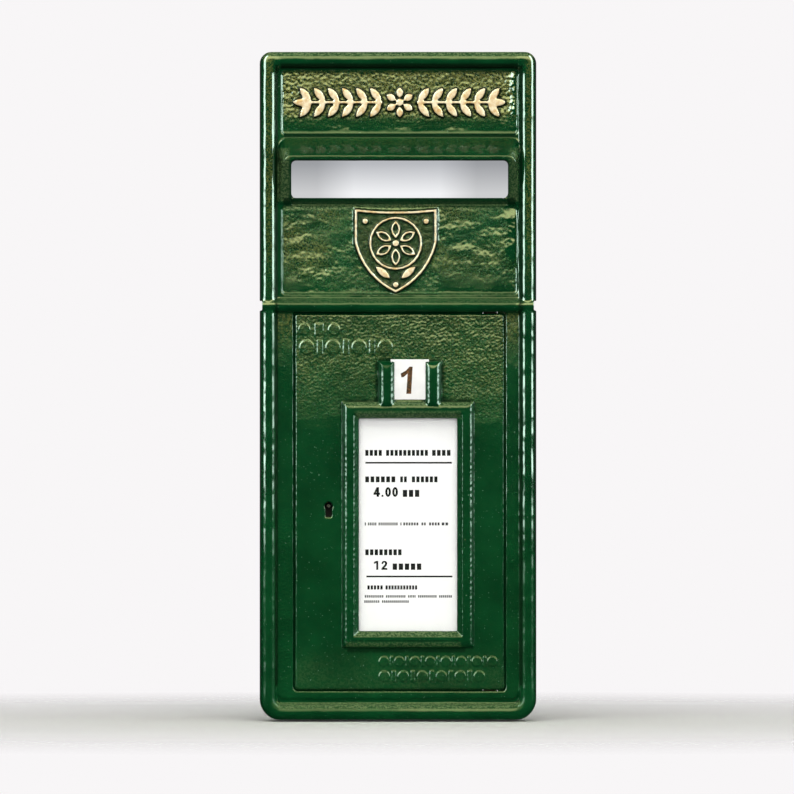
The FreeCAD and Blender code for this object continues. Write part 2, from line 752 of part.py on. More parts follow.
def front_casting():
    """The whole front casting, in one piece."""
    body = rim_body()
    body = body.cut(border_groove())
    body = body.cut(field_cut(HOOD_TOP - FIELD_CORNER, HEADER_TOP))
    body = body.cut(field_cut(FIELD_BOTTOM, FIELD_TOP))
    body = body.fuse([cross_bead(), hood()])
    body = body.cut(side_nicks() + slot_cuts() + [hood_core()])
    body = body.cut(slab(OPENING, BEHIND, FRONT_CLEAR, DOOR_CORNER + DOOR_GAP, 0))
    relief = hinge_rod(OPENING[2], OPENING[3], SWEEP + SWEEP_CLEAR)
    body = body.cut(relief)
    upper = hinge_ear(OPENING[3], OPENING[3] + EAR_LENGTH)
    lower = hinge_ear(OPENING[2] - EAR_LENGTH, OPENING[2])
    body = body.fuse([stop_ledge(), upper, lower] + fixing_bosses())
    hole = PIN_RADIUS + PIN_FIT
    through = hinge_rod(OPENING[3] - PLATE, OPENING[3] + EAR_LENGTH + PLATE, hole)
    blind = hinge_rod(OPENING[2] - EAR_LENGTH + EAR_FLOOR, OPENING[2] + PLATE, hole)
    body = body.cut(fixing_cores() + [through, blind])
    return body.fuse(leaf_frieze() + shield()).removeSplitter()


def notice_frame():
    """The raised moulding round the notice opening."""
    outer = grow(VIEW, NOTICE_FACE)
    frame = slab(outer, SEAT, NOTICE_CREST)
    frame = frame.makeFillet(NOTICE_ROUND, edges_at(frame, NOTICE_CREST))
    mouth = grow(VIEW, NOTICE_BEVEL)
    bevel = tapered(VIEW, NOTICE_CREST - NOTICE_BEVEL, mouth, NOTICE_CREST, 0, 0, 0)
    return frame.cut([slab(VIEW, BEHIND, FRONT_CLEAR), bevel])


def tablet_uprights():
    """Two rounded uprights above the notice, and the seat between them."""
    top = TABLET_FOOT + TABLET_HEIGHT - UPRIGHT_SHORT
    foot = VIEW[3] + NOTICE_FACE - NOTICE_RISE
    crest = FACE + UPRIGHT_RISE
    round_off = min(UPRIGHT_WIDTH / 2, UPRIGHT_RISE) - UPRIGHT_FLAT
    pieces = []
    for side in (-1, 1):
        inner = TABLET_X + side * TABLET_VIEW / 2
        ends = sorted((inner, inner + side * UPRIGHT_WIDTH))
        bar = slab((ends[0], ends[1], foot, top), SEAT, crest)
        pieces.append(bar.makeFillet(round_off, edges_at(bar, crest)))
    half = TABLET_VIEW / 2 + TABLET_LAP
    seat = (TABLET_X - half, TABLET_X + half, foot, TABLET_FOOT)
    pieces.append(slab(seat, SEAT, FACE + TABLET_THICK - SEAT_DROP))
    return pieces


def tablet_channel():
    """The channel that the tablet slides down, open at the top."""
    half = TABLET_VIEW / 2 + TABLET_LAP + TABLET_FIT
    top = TABLET_FOOT + TABLET_HEIGHT + TABLET_LAP
    box = (TABLET_X - half, TABLET_X + half, TABLET_FOOT, top)
    return slab(box, FACE, FACE + TABLET_THICK + TABLET_FIT)


def bead_row(left, right, bottom, top):
    """A row of low round beads with a short upright reel between each two."""
    tall = top - bottom
    count = max(2, int(round((right - left) / (tall * ROW_PITCH))))
    pitch = (right - left - tall) / (count - 1)
    middle = (bottom + top) / 2
    half = ROW_REEL * (pitch - tall)
    pieces = []
    for number in range(count):
        x = left + tall / 2 + pitch * number
        pieces.append(boss(x, middle, SEAT, FACE + ROW_RISE, tall / 2))
        if number:
            reel = x - pitch / 2
            pieces.append(slab((reel - half, reel + half, bottom, top), SEAT, FACE + ROW_RISE))
    return pieces


def relief_rows():
    """Two rows under the top edge of the door and two below the notice."""
    rows = []
    for inset, length, drop, height in UPPER_ROWS:
        left = DOOR[0] + inset
        top = DOOR[3] - drop
        rows += bead_row(left, left + length, top - height, top)
    for inset, length, drop, height in LOWER_ROWS:
        right = DOOR[1] - inset
        top = VIEW[2] - NOTICE_FACE - drop
        rows += bead_row(right - length, right, top - height, top)
    return rows


def knuckle(z0, z1):
    """A lug behind the door that turns on a hinge pin."""
    barrel = hinge_rod(z0, z1, KNUCKLE_RADIUS)
    web = slab((PIN_X - KNUCKLE_RADIUS, PIN_X + KNUCKLE_RADIUS, z0, z1), PIN_H, SEAT)
    return barrel.fuse(web)


def hinge_lip():
    """The lip behind the hinge edge of the door, which hides the gap beside it."""
    rear = DOOR_REAR - LIP_THICK
    left = DOOR[1] - LIP_ROOT
    right = DOOR[1] + LIP_REACH
    low = DOOR[2] - WASHER_THICK
    high = DOOR[3] + WASHER_THICK
    beside_ears = PIN_X + EAR_RADIUS + LIP_CLEAR
    lap = DOOR_GAP + LIP_REACH
    pieces = [slab((left, right, low, high), rear, DOOR_REAR)]
    pieces.append(slab((beside_ears, right, DOOR[2] - lap, DOOR[3] + lap), rear, DOOR_REAR))
    pieces.append(slab((left, DOOR[1] - DOOR_SOFT, DOOR[2], DOOR[3]), rear, SEAT))
    return pieces[0].fuse(pieces[1:])


def lock_screw_places():
    """The middles of the four screws that hold the lock to the door."""
    places = []
    for x in (CASE[0] + SCREW_INSET, CASE[1] - SCREW_INSET):
        for z in (CASE[2] - LOCK_FLANGE / 2, CASE[3] + LOCK_FLANGE / 2):
            places.append((x, z))
    return places


def plate_screw_places():
    """The middles of the four screws that hold the back plate to the door."""
    rim = grow(VIEW, SEAT_LAP + BACK_LAP / 2)
    return [(x, z) for x in (rim[0], rim[1]) for z in (rim[2], rim[3])]


def door_casting():
    """The whole collection door, in one piece."""
    panel = slab(DOOR, DOOR_REAR, FACE, DOOR_CORNER, DOOR_CORNER)
    panel = panel.makeChamfer(DOOR_SOFT, edges_at(panel, FACE))
    upper = knuckle(DOOR[3] - KNUCKLE_LENGTH, DOOR[3])
    lower = knuckle(DOOR[2], DOOR[2] + KNUCKLE_LENGTH)
    body = panel.fuse([notice_frame(), upper, lower, hinge_lip()] + tablet_uprights())
    body = body.fuse(relief_rows())
    view = slab(VIEW, BEHIND, FRONT_CLEAR)
    pocket = slab(grow(VIEW, SEAT_LAP), BEHIND, SEAT)
    cuts = [view, pocket, tablet_channel(), keyhole(BEHIND, NOTICE_CREST)]
    for z in (DOOR[2], DOOR[3] - KNUCKLE_LENGTH):
        cuts.append(hinge_rod(z, z + KNUCKLE_LENGTH, PIN_RADIUS + PIN_FIT))
    for x, z in lock_screw_places():
        depth = DOOR_REAR + LOCK_SCREW_DEPTH
        cuts.append(boss(x, z, BEHIND, depth, LOCK_SCREW_RADIUS + SCREW_FIT))
    for x, z in plate_screw_places():
        depth = DOOR_REAR + PLATE_SCREW_DEPTH + SCREW_FIT
        cuts.append(boss(x, z, BEHIND, depth, PLATE_SCREW_RADIUS + SCREW_FIT))
    return body.cut(cuts).removeSplitter()


def number_tablet():
    """The plate in the channel above the notice."""
    half = TABLET_VIEW / 2 + TABLET_LAP
    box = (TABLET_X - half, TABLET_X + half, TABLET_FOOT, TABLET_FOOT + TABLET_HEIGHT)
    return slab(box, FACE, FACE + TABLET_THICK)


def window_seal():
    """A flat gasket between the door and the window."""
    ring = slab(grow(VIEW, SEAT_LAP - GLASS_CLEAR), SEAT - SEAL, SEAT)
    return ring.cut(slab(grow(VIEW, SEAL_INSET), BEHIND, FACE))


def notice_window():
    """The clear sheet in front of the notice."""
    front = SEAT - SEAL
    return slab(grow(VIEW, SEAT_LAP - GLASS_CLEAR), front - GLASS, front)


def notice_card():
    """The printed card behind the window."""
    front = SEAT - SEAL - GLASS
    return slab(grow(VIEW, SEAT_LAP - GLASS_CLEAR), front - CARD, front)


def notice_back_plate():
    """The sheet that closes the window pocket behind the card."""
    plate = slab(grow(VIEW, SEAT_LAP + BACK_LAP), DOOR_REAR - BACK_PLATE, DOOR_REAR)
    holes = []
    for x, z in plate_screw_places():
        holes.append(boss(x, z, BEHIND, FACE, PLATE_SCREW_RADIUS + SCREW_FIT))
    return plate.cut(holes)


def screw(x, z, seat, tip, shank, head, head_height):
    """A screw seen from behind: its head lies against seat and its shank runs to tip."""
    return boss(x, z, seat - head_height, seat, head).fuse(boss(x, z, seat, tip, shank))


def notice_plate_screws():
    """The four screws of the back plate."""
    seat = DOOR_REAR - BACK_PLATE
    tip = DOOR_REAR + PLATE_SCREW_DEPTH
    size = (PLATE_SCREW_RADIUS, PLATE_SCREW_HEAD, PLATE_SCREW_HEAD_HEIGHT)
    return [screw(x, z, seat, tip, *size) for x, z in plate_screw_places()]


def upper_hinge_pin():
    """The headed pin that drops through the upper ear into the door."""
    seat = OPENING[3] + EAR_LENGTH
    shank = hinge_rod(DOOR[3] - PIN_ENGAGE, seat, PIN_RADIUS)
    return shank.fuse(hinge_collar(seat, seat + PIN_HEAD, PIN_HEAD_RADIUS))


def lower_hinge_pin():
    """The plain pin that stands in the lower ear."""
    foot = OPENING[2] - EAR_LENGTH + EAR_FLOOR
    return hinge_rod(foot, DOOR[2] + PIN_ENGAGE, PIN_RADIUS)


def hinge_washer(z):
    """A washer on a hinge pin, with its lower face at z."""
    ring = hinge_collar(z, z + WASHER_THICK, WASHER_RADIUS)
    return ring.cut(hinge_collar(z, z + WASHER_THICK, PIN_RADIUS + WASHER_FIT))


def cap_screw_places():
    """The middles of the two screws that hold the cap on the lock case."""
    inset = LOCK_WALL + LOCK_POST - LOCK_POST_BITE
    z = CASE[2] + inset
    return [(CASE[0] + inset, z), (CASE[1] - inset, z)]


def lock_case():
    """The open tray of the lock with its flanged front plate."""
    plate = (CASE[0], CASE[1], CASE[2] - LOCK_FLANGE, CASE[3] + LOCK_FLANGE)
    inside = slab(grow(CASE, -LOCK_WALL), BEHIND, CASE_FRONT)
    walls = slab(CASE, CASE_REAR, CASE_FRONT).cut(inside)
    body = slab(plate, CASE_FRONT, DOOR_REAR).fuse(walls)
    posts = [boss(x, z, CASE_REAR, CASE_FRONT, LOCK_POST) for x, z in cap_screw_places()]
    body = body.fuse(posts)
    bolt_way = (CASE[0] - LOCK_WALL, CASE[0] + LOCK_WALL, BOLT[2] - BOLT_FIT, BOLT[3] + BOLT_FIT)
    cuts = [slab(bolt_way, BOLT_REAR - BOLT_FIT, BOLT_FRONT + BOLT_FIT)]
    cuts.append(keyhole(CASE_FRONT - LOCK_SHEET, FACE))
    for x, z in cap_screw_places():
        cuts.append(boss(x, z, CASE_REAR, CASE_FRONT, CAP_SCREW_RADIUS + SCREW_FIT))
    for x, z in lock_screw_places():
        cuts.append(boss(x, z, CASE_REAR, FACE, LOCK_SCREW_RADIUS + SCREW_FIT))
    return body.cut(cuts).removeSplitter()


def lock_cap():
    """The sheet that closes the back of the lock case."""
    cap = slab(CASE, CAP_REAR, CASE_REAR)
    holes = []
    for x, z in cap_screw_places():
        holes.append(boss(x, z, CAP_REAR, CASE_REAR, CAP_SCREW_RADIUS + SCREW_FIT))
    return cap.cut(holes)


def lock_bolt():
    """The dead bolt, drawn back, with its talon, guide slot and two spring notches."""
    bolt = slab(BOLT, BOLT_REAR, BOLT_FRONT)
    talon_x = KEY_X + BOLT_THROW / 2
    half = TALON_WIDTH / 2
    talon = (talon_x - half, talon_x + half, BOLT[2] - TALON_DEPTH, BOLT[2] + TALON_DEPTH)
    way = STUD_RADIUS + STUD_FIT
    guide = (STUD_X - way, STUD_X + BOLT_THROW + way, STUD_Z - way, STUD_Z + way)
    cuts = [slab(talon, CAP_REAR, FACE), slab(guide, CAP_REAR, FACE)]
    top = BOLT[3]
    floor = top - NOTCH_DEPTH
    wide = NOTCH_WIDTH / 2
    for x in (NOSE_X, NOSE_X + BOLT_THROW):
        notch = [(x - wide, top), (x - wide / 2, floor), (x + wide / 2, floor), (x + wide, top)]
        cuts.append(drawn(notch, CAP_REAR, FACE))
    return bolt.cut(cuts)


def lock_back_spring():
    """A bent leaf that lies under the top of the case and rests its nose in a notch."""
    roof = CASE[3] - LOCK_WALL
    sheet = SPRING_SHEET
    nose = BOLT[3] - NOTCH_DEPTH + SPRING_FIT
    tail = CASE[1] - LOCK_WALL - BOLT_BACK_CLEAR
    bend = NOSE_X + BOLT_THROW + NOTCH_WIDTH / 2
    left = NOSE_X - SPRING_SPREAD
    right = NOSE_X + SPRING_SPREAD
    crest = BOLT[3] + sheet
    points = [
        (tail, roof),
        (bend, roof),
        (right, crest + sheet),
        (NOSE_X, nose + sheet),
        (left, crest + sheet),
        (left, crest),
        (NOSE_X, nose),
        (right, crest),
        (bend + sheet, roof - sheet),
        (tail, roof - sheet),
    ]
    middle = (BOLT_FRONT + BOLT_REAR) / 2
    return drawn(points, middle - SPRING_WIDTH / 2, middle + SPRING_WIDTH / 2)


def lock_key_pin():
    """The pin that the hollow key turns on."""
    return boss(KEY_X, KEY_Z, CASE_REAR, (DOOR_REAR + FACE) / 2, STUD_RADIUS)


def lock_guide_stud():
    """The stud that the bolt slides along."""
    return boss(STUD_X, STUD_Z, CASE_REAR, CASE_FRONT, STUD_RADIUS)


def lock_cap_screws():
    """The two screws of the lock cap."""
    tip = CASE_FRONT - LOCK_SHEET
    size = (CAP_SCREW_RADIUS, CAP_SCREW_HEAD, CAP_SCREW_HEAD_HEIGHT)
    return [screw(x, z, CAP_REAR, tip, *size) for x, z in cap_screw_places()]


def lock_fixing_screws():
    """The four screws that hold the lock to the door."""
    tip = DOOR_REAR + LOCK_SCREW_DEPTH - SCREW_FIT
    size = (LOCK_SCREW_RADIUS, LOCK_SCREW_HEAD, LOCK_SCREW_HEAD_HEIGHT)
    return [screw(x, z, CASE_FRONT, tip, *size) for x, z in lock_screw_places()]


def save(name, shape):
    """Write one node; a list of shapes becomes a group of separate solids."""
    if isinstance(shape, list):
        shape = Part.makeCompound(shape)
    shape.exportStep("parts/" + name + ".step")


os.makedirs("parts", exist_ok=True)
save("front_casting", front_casting())
save("door_casting", door_casting())
save("number_tablet", number_tablet())
save("window_seal", window_seal())
save("notice_window", notice_window())
save("notice_card", notice_card())
save("notice_back_plate", notice_back_plate())
save("notice_plate_screws", notice_plate_screws())
save("upper_hinge_pin", upper_hinge_pin())
save("lower_hinge_pin", lower_hinge_pin())
save("upper_hinge_washer", hinge_washer(DOOR[3]))
save("lower_hinge_washer", hinge_washer(OPENING[2]))
save("lock_case", lock_case())
save("lock_cap", lock_cap())
save("lock_bolt", lock_bolt())
save("lock_back_spring", lock_back_spring())
save("lock_key_pin", lock_key_pin())
save("lock_guide_stud", lock_guide_stud())
save("lock_cap_screws", lock_cap_screws())
save("lock_fixing_screws", lock_fixing_screws())
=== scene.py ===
"""The looks of a cast iron post box front, round the frame of its CAD model.

Thick glossy green enamel on rough castings, cream relief, a white tablet with a numeral,
and a printed card behind a clear window. Names that end in _MM hold millimetres, and
names that end in _PX hold pixels of the photo. Blender itself works in metres.
"""

import itertools
import math

import bmesh
import bpy
import numpy as np
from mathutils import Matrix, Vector


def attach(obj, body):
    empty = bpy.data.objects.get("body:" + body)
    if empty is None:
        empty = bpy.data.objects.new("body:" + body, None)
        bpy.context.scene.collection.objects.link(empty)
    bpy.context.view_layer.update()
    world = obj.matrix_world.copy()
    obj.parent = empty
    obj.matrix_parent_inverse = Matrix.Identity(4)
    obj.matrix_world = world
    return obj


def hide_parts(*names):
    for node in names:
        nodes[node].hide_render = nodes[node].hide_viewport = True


MM = 0.001

# Places in the frame: x to the right, z up and h in front of the wall. A box is its left,
# right, foot and top. The inner shapes lie SHIFT_MM to the right of the outline's middle.
SHIFT_MM = 1.4
FIELD_H_MM = 22.0
FACE_H_MM = 24.0
CROSS_Z_MM = 68.3
CROSS_HALF_MM = 12.0
HEADER_MM = (-99.1, 101.9, 217.2, 268.4)
BANNER_MM = (-91.0, 91.0, 222.0, 264.0)
HOOD_MM = (-104.0, 106.0, 158.0, 216.0)
LOWER_FIELD_MM = (-99.1, 101.9, 77.6, 153.6)
SHIELD_MM = (-39.0, 35.0, 77.0, 154.5)
ROWS_MM = (
    (-85.6, -48.5, 42.2, 54.0),
    (-84.6, -3.7, 25.9, 40.2),
    (-17.2, 85.3, -239.3, -229.0),
    (-17.2, 74.7, -252.4, -241.3),
)

# Dressed castings: fine copies, exact behind and softened and roughened in front
FRONT_VOXEL_MM = 0.8
DOOR_VOXEL_MM = 0.62
JOIN_DISTANCE = 1e-6
SOFTEN_FACTOR = 0.5
SOFTEN_TIMES = 5
MOST_TRIANGLES = 180000
BACK_KEPT_BELOW_MM = 18.6
FADE_MM = 2.0
FLAT_SHADED_BELOW_MM = BACK_KEPT_BELOW_MM + 3.0
SQUARE_FACE = 0.9995
SHARP_ANGLE = math.radians(30)

# Noise: its grid, the turn and the shift that grow with the seed, and its gain
NOISE_COUNT = 256
NOISE_TURN = (0.7, 1.3)
NOISE_SHIFT = (11.3, 5.9)
NOISE_GAIN = 1.5

# Maps of heights over the front, from -GRID_X_MM and -GRID_Z_MM
GRID_X_MM = 130.0
GRID_Z_MM = 300.0
HOLLOW_CELL_MM = 1.0
HOLLOW_REACH = 6
# Painted shadow round the cream relief: its map's cell and reach, how wide and soft
OUTLINE_CELL_MM = 0.6
OUTLINE_REACH = 4
OUTLINE_MM = 1.2
OUTLINE_SOFT_MM = 0.8

# Ramps: their low end, their high end and, where it isn't 0, their least value. Ramps of
# facing take how far a normal points to the street, or up where the name says so.
AWAY_FACING = (-0.7, 0.0)
SIDE_FACING = (0.0, 0.5)
FLAT_FACING = (0.75, 0.97)
LEDGE_UP_FACING = (0.25, 0.6)
MATT_UP_FACING = (0.86, 0.97, 0.05)
MATT_UP_FACING_BEHIND = (0.3, 0.6, 0.03)

# Zones of the front casting
FIELD_SOFT_MM = 3.0
SHIELD_EDGE_MM = 1.0
SHIELD_SOFT_MM = 2.0
HEADER_RELIEF_H_MM = (22.8, 23.4)
LOWER_RELIEF_H_MM = (22.9, 23.3)
SHIELD_RELIEF_H_MM = (24.0, 24.4)
SHIELD_LIKE_LOWER = 0.8
BORDER_MOULDING_H_MM = (24.6, 25.6)
BORDER_TOP_MM = (60.0, 63.0)
HEADER_CALM_MM = (225.0, 233.0, 0.35)
LOWER_CALM_MM = (80.0, 96.0, 0.35)
BORDER_CALM_MM = (-20.0, 50.0, 0.25)

# Skin of the front. A wave is its height and feature size in millimetres, and its seed.
# Waves named WANDER shift the end of a ramp, and those named BROAD or PATCHES are put
# through a ramp that is named EDGE.
HEADER_WANDER = (2.5, 12.0, 12)
LOWER_WANDER = (6.0, 24.0, 13)
HEADER_WAVES = ((0.16, 5.2, 1), (0.36, 2.4, 2), (0.26, 14.0, 3))
HEADER_ENDS_MM = (74.0, 97.0)
HEADER_ENDS_MORE = 0.7
HEADER_BULGE_MM = 2.2
HEADER_BULGE_X_MM = (91.5, 102.0)
LOWER_WAVES = ((0.26, 8.5, 6), (0.27, 2.6, 7))
LOWER_STROKES = (0.5, 12.0, 4)
STROKES_ALONG = (0.62, 0.42)
STROKES_ACROSS = (-0.28, 1.25)
LOWER_BROAD = (1.0, 42.0, 5)
BROAD_EDGE = (-0.45, 0.5, 0.5)
LOWER_BULGE_MM = 1.8
LOWER_BULGE_X_MM = (80.0, 102.0)
LOWER_BULGE_BOX_MM = (70.0, 112.0, 100.0, 152.0)
LOWER_BULGE_SOFT_MM = 10.0
SHIELD_WAVE = (0.14, 3.4, 16)
BORDER_WAVES = ((0.16, 4.2, 8), (0.22, 12.0, 9))
MOULDING_WAVES = ((0.24, 24.0, 10), (0.12, 8.0, 11), (0.05, 3.0, 14))
MOULDING_SEEN_FACING = (*SIDE_FACING, 0.35)
SLANT = 0.6

# Skin of the door: rough everywhere, more at its top and most at the upper right
DOOR_ROUGH = (0.06, 0.72, 0.30)
DOOR_ROUGH_Z_MM = (-75.0, 45.0)
DOOR_ROUGH_X_MM = (-40.0, 70.0)
DOOR_WANDER = (14.0, 60.0, 20)
DOOR_FACE_H_MM = (24.3, 24.8)
DOOR_GRAIN_H_MM = (24.6, 25.2)
DOOR_GRAIN_WAVES = ((0.10, 3.6, 21), (0.28, 1.9, 22))
DOOR_BROAD_WAVE = (1.0, 17.0, 23)
DOOR_BROAD = (0.10, 0.35)
DOOR_CALM_WAVE = (0.07, 6.0, 24)
DOOR_MOULDING_WAVES = ((0.08, 22.0, 25), (0.07, 2.7, 26))
ROWS_EDGE_MM = 1.0
ROWS_CALM = 0.75
ROWS_WAVE = (0.10, 2.6, 27)
ROWS_SUNK = 0.25

# Cream paint, on what stands higher than this in the banner and on the shield
CREAM_FROM_HEADER_MM = 23.45
CREAM_FROM_SHIELD_MM = 24.4
BANNER_BELOW_H_MM = 30.0
SHIELD_BELOW_H_MM = 27.0
NO_CREAM_MM = 900.0

# Fine grain of the paint
HEADER_GRAIN = 0.8
LOWER_GRAIN = 0.8
BORDER_GRAIN = 0.45
BLURRED_ABOVE_GRAIN = 0.3

# Painted warm reflection: the green turned olive where an overhead light would be seen
HEADER_OLIVE = 0.75
HEADER_OLIVE_MM = (223.0, 233.0, 0.15)
LOWER_OLIVE = (0.02, 0.36)
OLIVE_PATCHES = (1.0, 34.0, 5)
OLIVE_EDGE = (-0.35, 0.45)
OLIVE_WANDER = (16.0, 30.0, 15)
LOWER_OLIVE_Z_MM = (82.0, 120.0, 0.2)
LOWER_OLIVE_X_MM = (10.0, 80.0, 0.38)
BORDER_OLIVE = 0.35
BORDER_OLIVE_MM = (20.0, 60.0)
CREST_OLIVE = 0.35
CREST_MM = (106.5, 114.5, 2.0)
CREST_OLIVE_MM = (60.0, 150.0)
DOOR_OLIVE = 0.20
DOOR_OLIVE_ROUGH = (0.15, 0.95)
DOOR_OLIVE_PATCHES = (1.0, 26.0, 28)
DOOR_OLIVE_EDGE = (-0.4, 0.4, 0.6)

# Gloss: of the front towards its foot, of boxes of its level mouldings, and of the door
FOOT_SHEEN_MM = (-170.0, -60.0, 0.10)
TOP_RIM_SHEEN = 0.6
TOP_RIM_MM = (-101.0, 101.0, 267.0, math.inf)
SHEEN_MM = (
    ((-101.0, 101.0, CROSS_Z_MM - CROSS_HALF_MM, CROSS_Z_MM + CROSS_HALF_MM), 0.32),
    ((-101.0, 101.0, -math.inf, -255.0), 0.4),
    ((-101.0, 101.0, 199.0, 208.5), 0.75),
    ((-101.0, 101.0, 208.5, 213.5), 0.25),
    ((-101.0, 101.0, 213.5, 218.0), 0.45),
    ((-101.0, 101.0, 191.0, 199.0), 0.6),
    ((-102.0, -97.0, 77.0, 154.0), 0.4),
)
LEFT_OF_DOOR_MM = (-107.4, 0.0, -math.inf, 61.0)
LEFT_OF_DOOR_SHEEN = 0.5
DOOR_SHEEN = 0.25
DOOR_SHEEN_RAMPS_MM = ((-200.0, -60.0), (-20.0, 50.0))
UPRIGHT_TOPS_MM = (-22.0, 24.0, 11.0, 24.0)
UPRIGHT_TOPS_SOFT_MM = 2.0
UPRIGHT_TOPS_MATT = 0.8

# Patches of painted light and shade, each its box, softness and strength
HOOD_PAINTED_REFLECTION = (((-98.0, 100.0, 203.0, 212.0), 2.0, 0.12),)
# Painted highlights, in paler greens, on cheeks, ledges, bevels and the door's foot
CHEEK_HIGHLIGHT = (
    ((-104.5, -91.0, 156.0, 203.0), 2.5, 0.5),
    ((93.0, 103.5, 156.0, 203.0), 2.5, 0.4),
)
BROW_HIGHLIGHT = (((-98.0, 90.0, 149.0, 153.6), 1.2, 0.6),)
BROW_HIGHLIGHT_X_MM = (-60.0, 60.0, 0.4)
NOTICE_HIGHLIGHT = (
    ((-37.0, 54.0, -28.5, -20.5), 1.6, 0.28),
    ((-45.0, 54.0, -222.5, -216.8), 1.4, 0.24),
)
NOTICE_HIGHLIGHT_H_MM = (24.5, 26.0)
LEDGE_HIGHLIGHT = 0.65
HOOD_NO_HIGHLIGHT_MM = (156.0, 220.0, 1.0)
CROSS_LESS_HIGHLIGHT_MM = (62.0, 84.0, 1.0)
CROSS_LESS_HIGHLIGHT = 0.6
DOOR_LEDGES_MM = (-6.0, 2.0)
DOOR_FOOT_HIGHLIGHT = 0.10
DOOR_FOOT_MM = (-250.0, -215.0)
DOOR_FOOT_EVEN = 0.6
DOOR_FOOT_WAVE = (0.4, 20.0, 29)
# Painted shade, matt and near black: under the top rim, in recesses, on the hood, below mouldings
FRONT_PAINTED_SHADE = (
    ((-100.0, 102.8, 268.8, 274.4), 1.2, 0.95),
    ((-105.2, -101.4, -256.0, 273.0), 1.2, 0.95),
    ((102.2, 106.6, -256.0, 273.0), 1.2, 0.95),
    ((-98.0, 100.8, 210.6, 215.4), 1.2, 0.95),
    ((-98.0, 100.8, 153.2, 160.6), 1.2, 0.95),
)
DOOR_PAINTED_SHADE = (
    ((-44.0, 58.0, -227.5, -221.8), 1.6, 0.8),
    ((-36.0, 52.0, -217.6, -215.0), 1.0, 0.7),
)
HOLLOW_PAINTED_SHADE = 0.95
HOLLOW_DEPTH_MM = (0.2, 1.8)
RELIEF_PAINTED_SHADE = 0.9
HOOD_PAINTED_SHADE = 0.36
HOOD_PAINTED_SHADE_H_MM = (FACE_H_MM, FACE_H_MM + 2.0)

# Enamel: colours from 0 to 255, some in pairs that clouds mix. Clouds are the scale,
# detail and roughness of a noise, and the two values that it is stretched between.
# Painted light and shade among them: olives for a warm reflection, paler greens for
# highlights, mint for glints, near-blacks for shade and for the shadow round the relief.
GREENS = ((2, 46, 21), (5, 58, 28))
OLIVES = ((4, 26, 8), (112, 112, 54))
PAINTED_HIGHLIGHTS = ((46, 74, 40), (116, 136, 90))
CREAMS = ((229, 215, 180), (198, 160, 100))
GLINT_COLOUR = (112, 150, 122)
PAINTED_SHADE_COLOUR = (2, 20, 8)
RELIEF_SHADOW_COLOUR = (8, 18, 8)
GREEN_CLOUDS = (30.0, 3.0, 0.55, 0.35, 0.7)
MOTTLE_CLOUDS = (600.0, 2.0, 0.7, 0.44, 0.58)
GLINT_CLOUDS = (560.0, 1.0, 0.55, 0.72, 0.80)
CREAM_CLOUDS = (160.0, 4.0, 0.7, 0.42, 0.66)
GRAIN_NOISE = (600.0, 1.0, 0.5)
SKIN_NOISE = (150.0, 2.0, 0.5)
GLINT_SHARE = 0.4
PAINTED_SHADE_SHARE = 0.92
# Painted shadow round the cream relief: its strength round it and at its foot
RELIEF_SHADOW_SHARE = 0.9
CREAM_FOOT_SHARE = 0.8
CREAM_EDGE_MM = (-0.10, 0.12)
CREAM_FOOT_MM = (-1.6, -0.35)
GRAIN_BUMP = 0.0024
SKIN_BUMP = (0.35, 0.0003)
PAINT_ROUGHNESS = (0.35, 0.9)
PAINT_SPECULAR = 0.05
PAINT_IOR = 1.52
COAT_IOR = 1.7
GLOSS_BLUR = 0.09
ROUGH_GLOSS_BLUR = 0.22

# Plain finishes, and the finish of each CAD piece
FINISHES = {
    "tablet_white": dict(
        tint=(240, 239, 236), roughness=0.25, scale=300.0, depth=0.00004, Coat_Weight=0.5
    ),
    "card_paper": dict(
        tint=(252, 251, 251), roughness=0.75, scale=900.0, depth=0.00002, shade=0.975
    ),
    "seal_rubber": dict(tint=(24, 24, 24), roughness=0.7),
    "zinc_steel": dict(
        tint=(150, 152, 155), roughness=0.35, metallic=1.0, scale=600.0, depth=0.00003
    ),
    "lock_steel": dict(tint=(40, 40, 42), roughness=0.6, metallic=0.3, scale=500.0, depth=0.00005),
    "lock_brass": dict(
        tint=(186, 146, 72), roughness=0.32, metallic=1.0, scale=600.0, depth=0.00003
    ),
    # Brass blackened further, as painted shade of the hinge gap
    "hinge_shaded_brass": dict(
        tint=(26, 22, 15), roughness=0.8, scale=600.0, depth=0.00003, Specular_IOR_Level=0.1
    ),
    "print_ink": dict(
        tint=(8, 8, 9), roughness=0.8, scale=900.0, depth=0.00001, Specular_IOR_Level=0.1
    ),
    "print_faint_ink": dict(
        tint=(60, 60, 62), roughness=0.8, scale=900.0, depth=0.00001, Specular_IOR_Level=0.1
    ),
}
WORN = {
    "number_tablet": "tablet_white",
    "notice_card": "card_paper",
    "window_seal": "seal_rubber",
    "notice_back_plate": "zinc_steel",
    "notice_plate_screws": "zinc_steel",
    "upper_hinge_pin": "lock_steel",
    "lower_hinge_pin": "lock_steel",
    "upper_hinge_washer": "hinge_shaded_brass",
    "lower_hinge_washer": "hinge_shaded_brass",
    "lock_case": "lock_steel",
    "lock_cap": "lock_steel",
    "lock_bolt": "lock_brass",
    "lock_back_spring": "zinc_steel",
    "lock_key_pin": "lock_steel",
    "lock_guide_stud": "lock_steel",
    "lock_cap_screws": "zinc_steel",
    "lock_fixing_screws": "zinc_steel",
}
TONE_SCALE = 0.2
TONE_CLOUDS = (3.0, 0.55, 0.3, 0.7)
FINISH_BUMP = 0.5
WINDOW_TINT = (110, 114, 112)
NUMBER_TINTS = ((30, 16, 10), (96, 56, 28))
NUMBER_CLOUDS = (420.0, 4.0, 0.7, 0.45, 0.62)

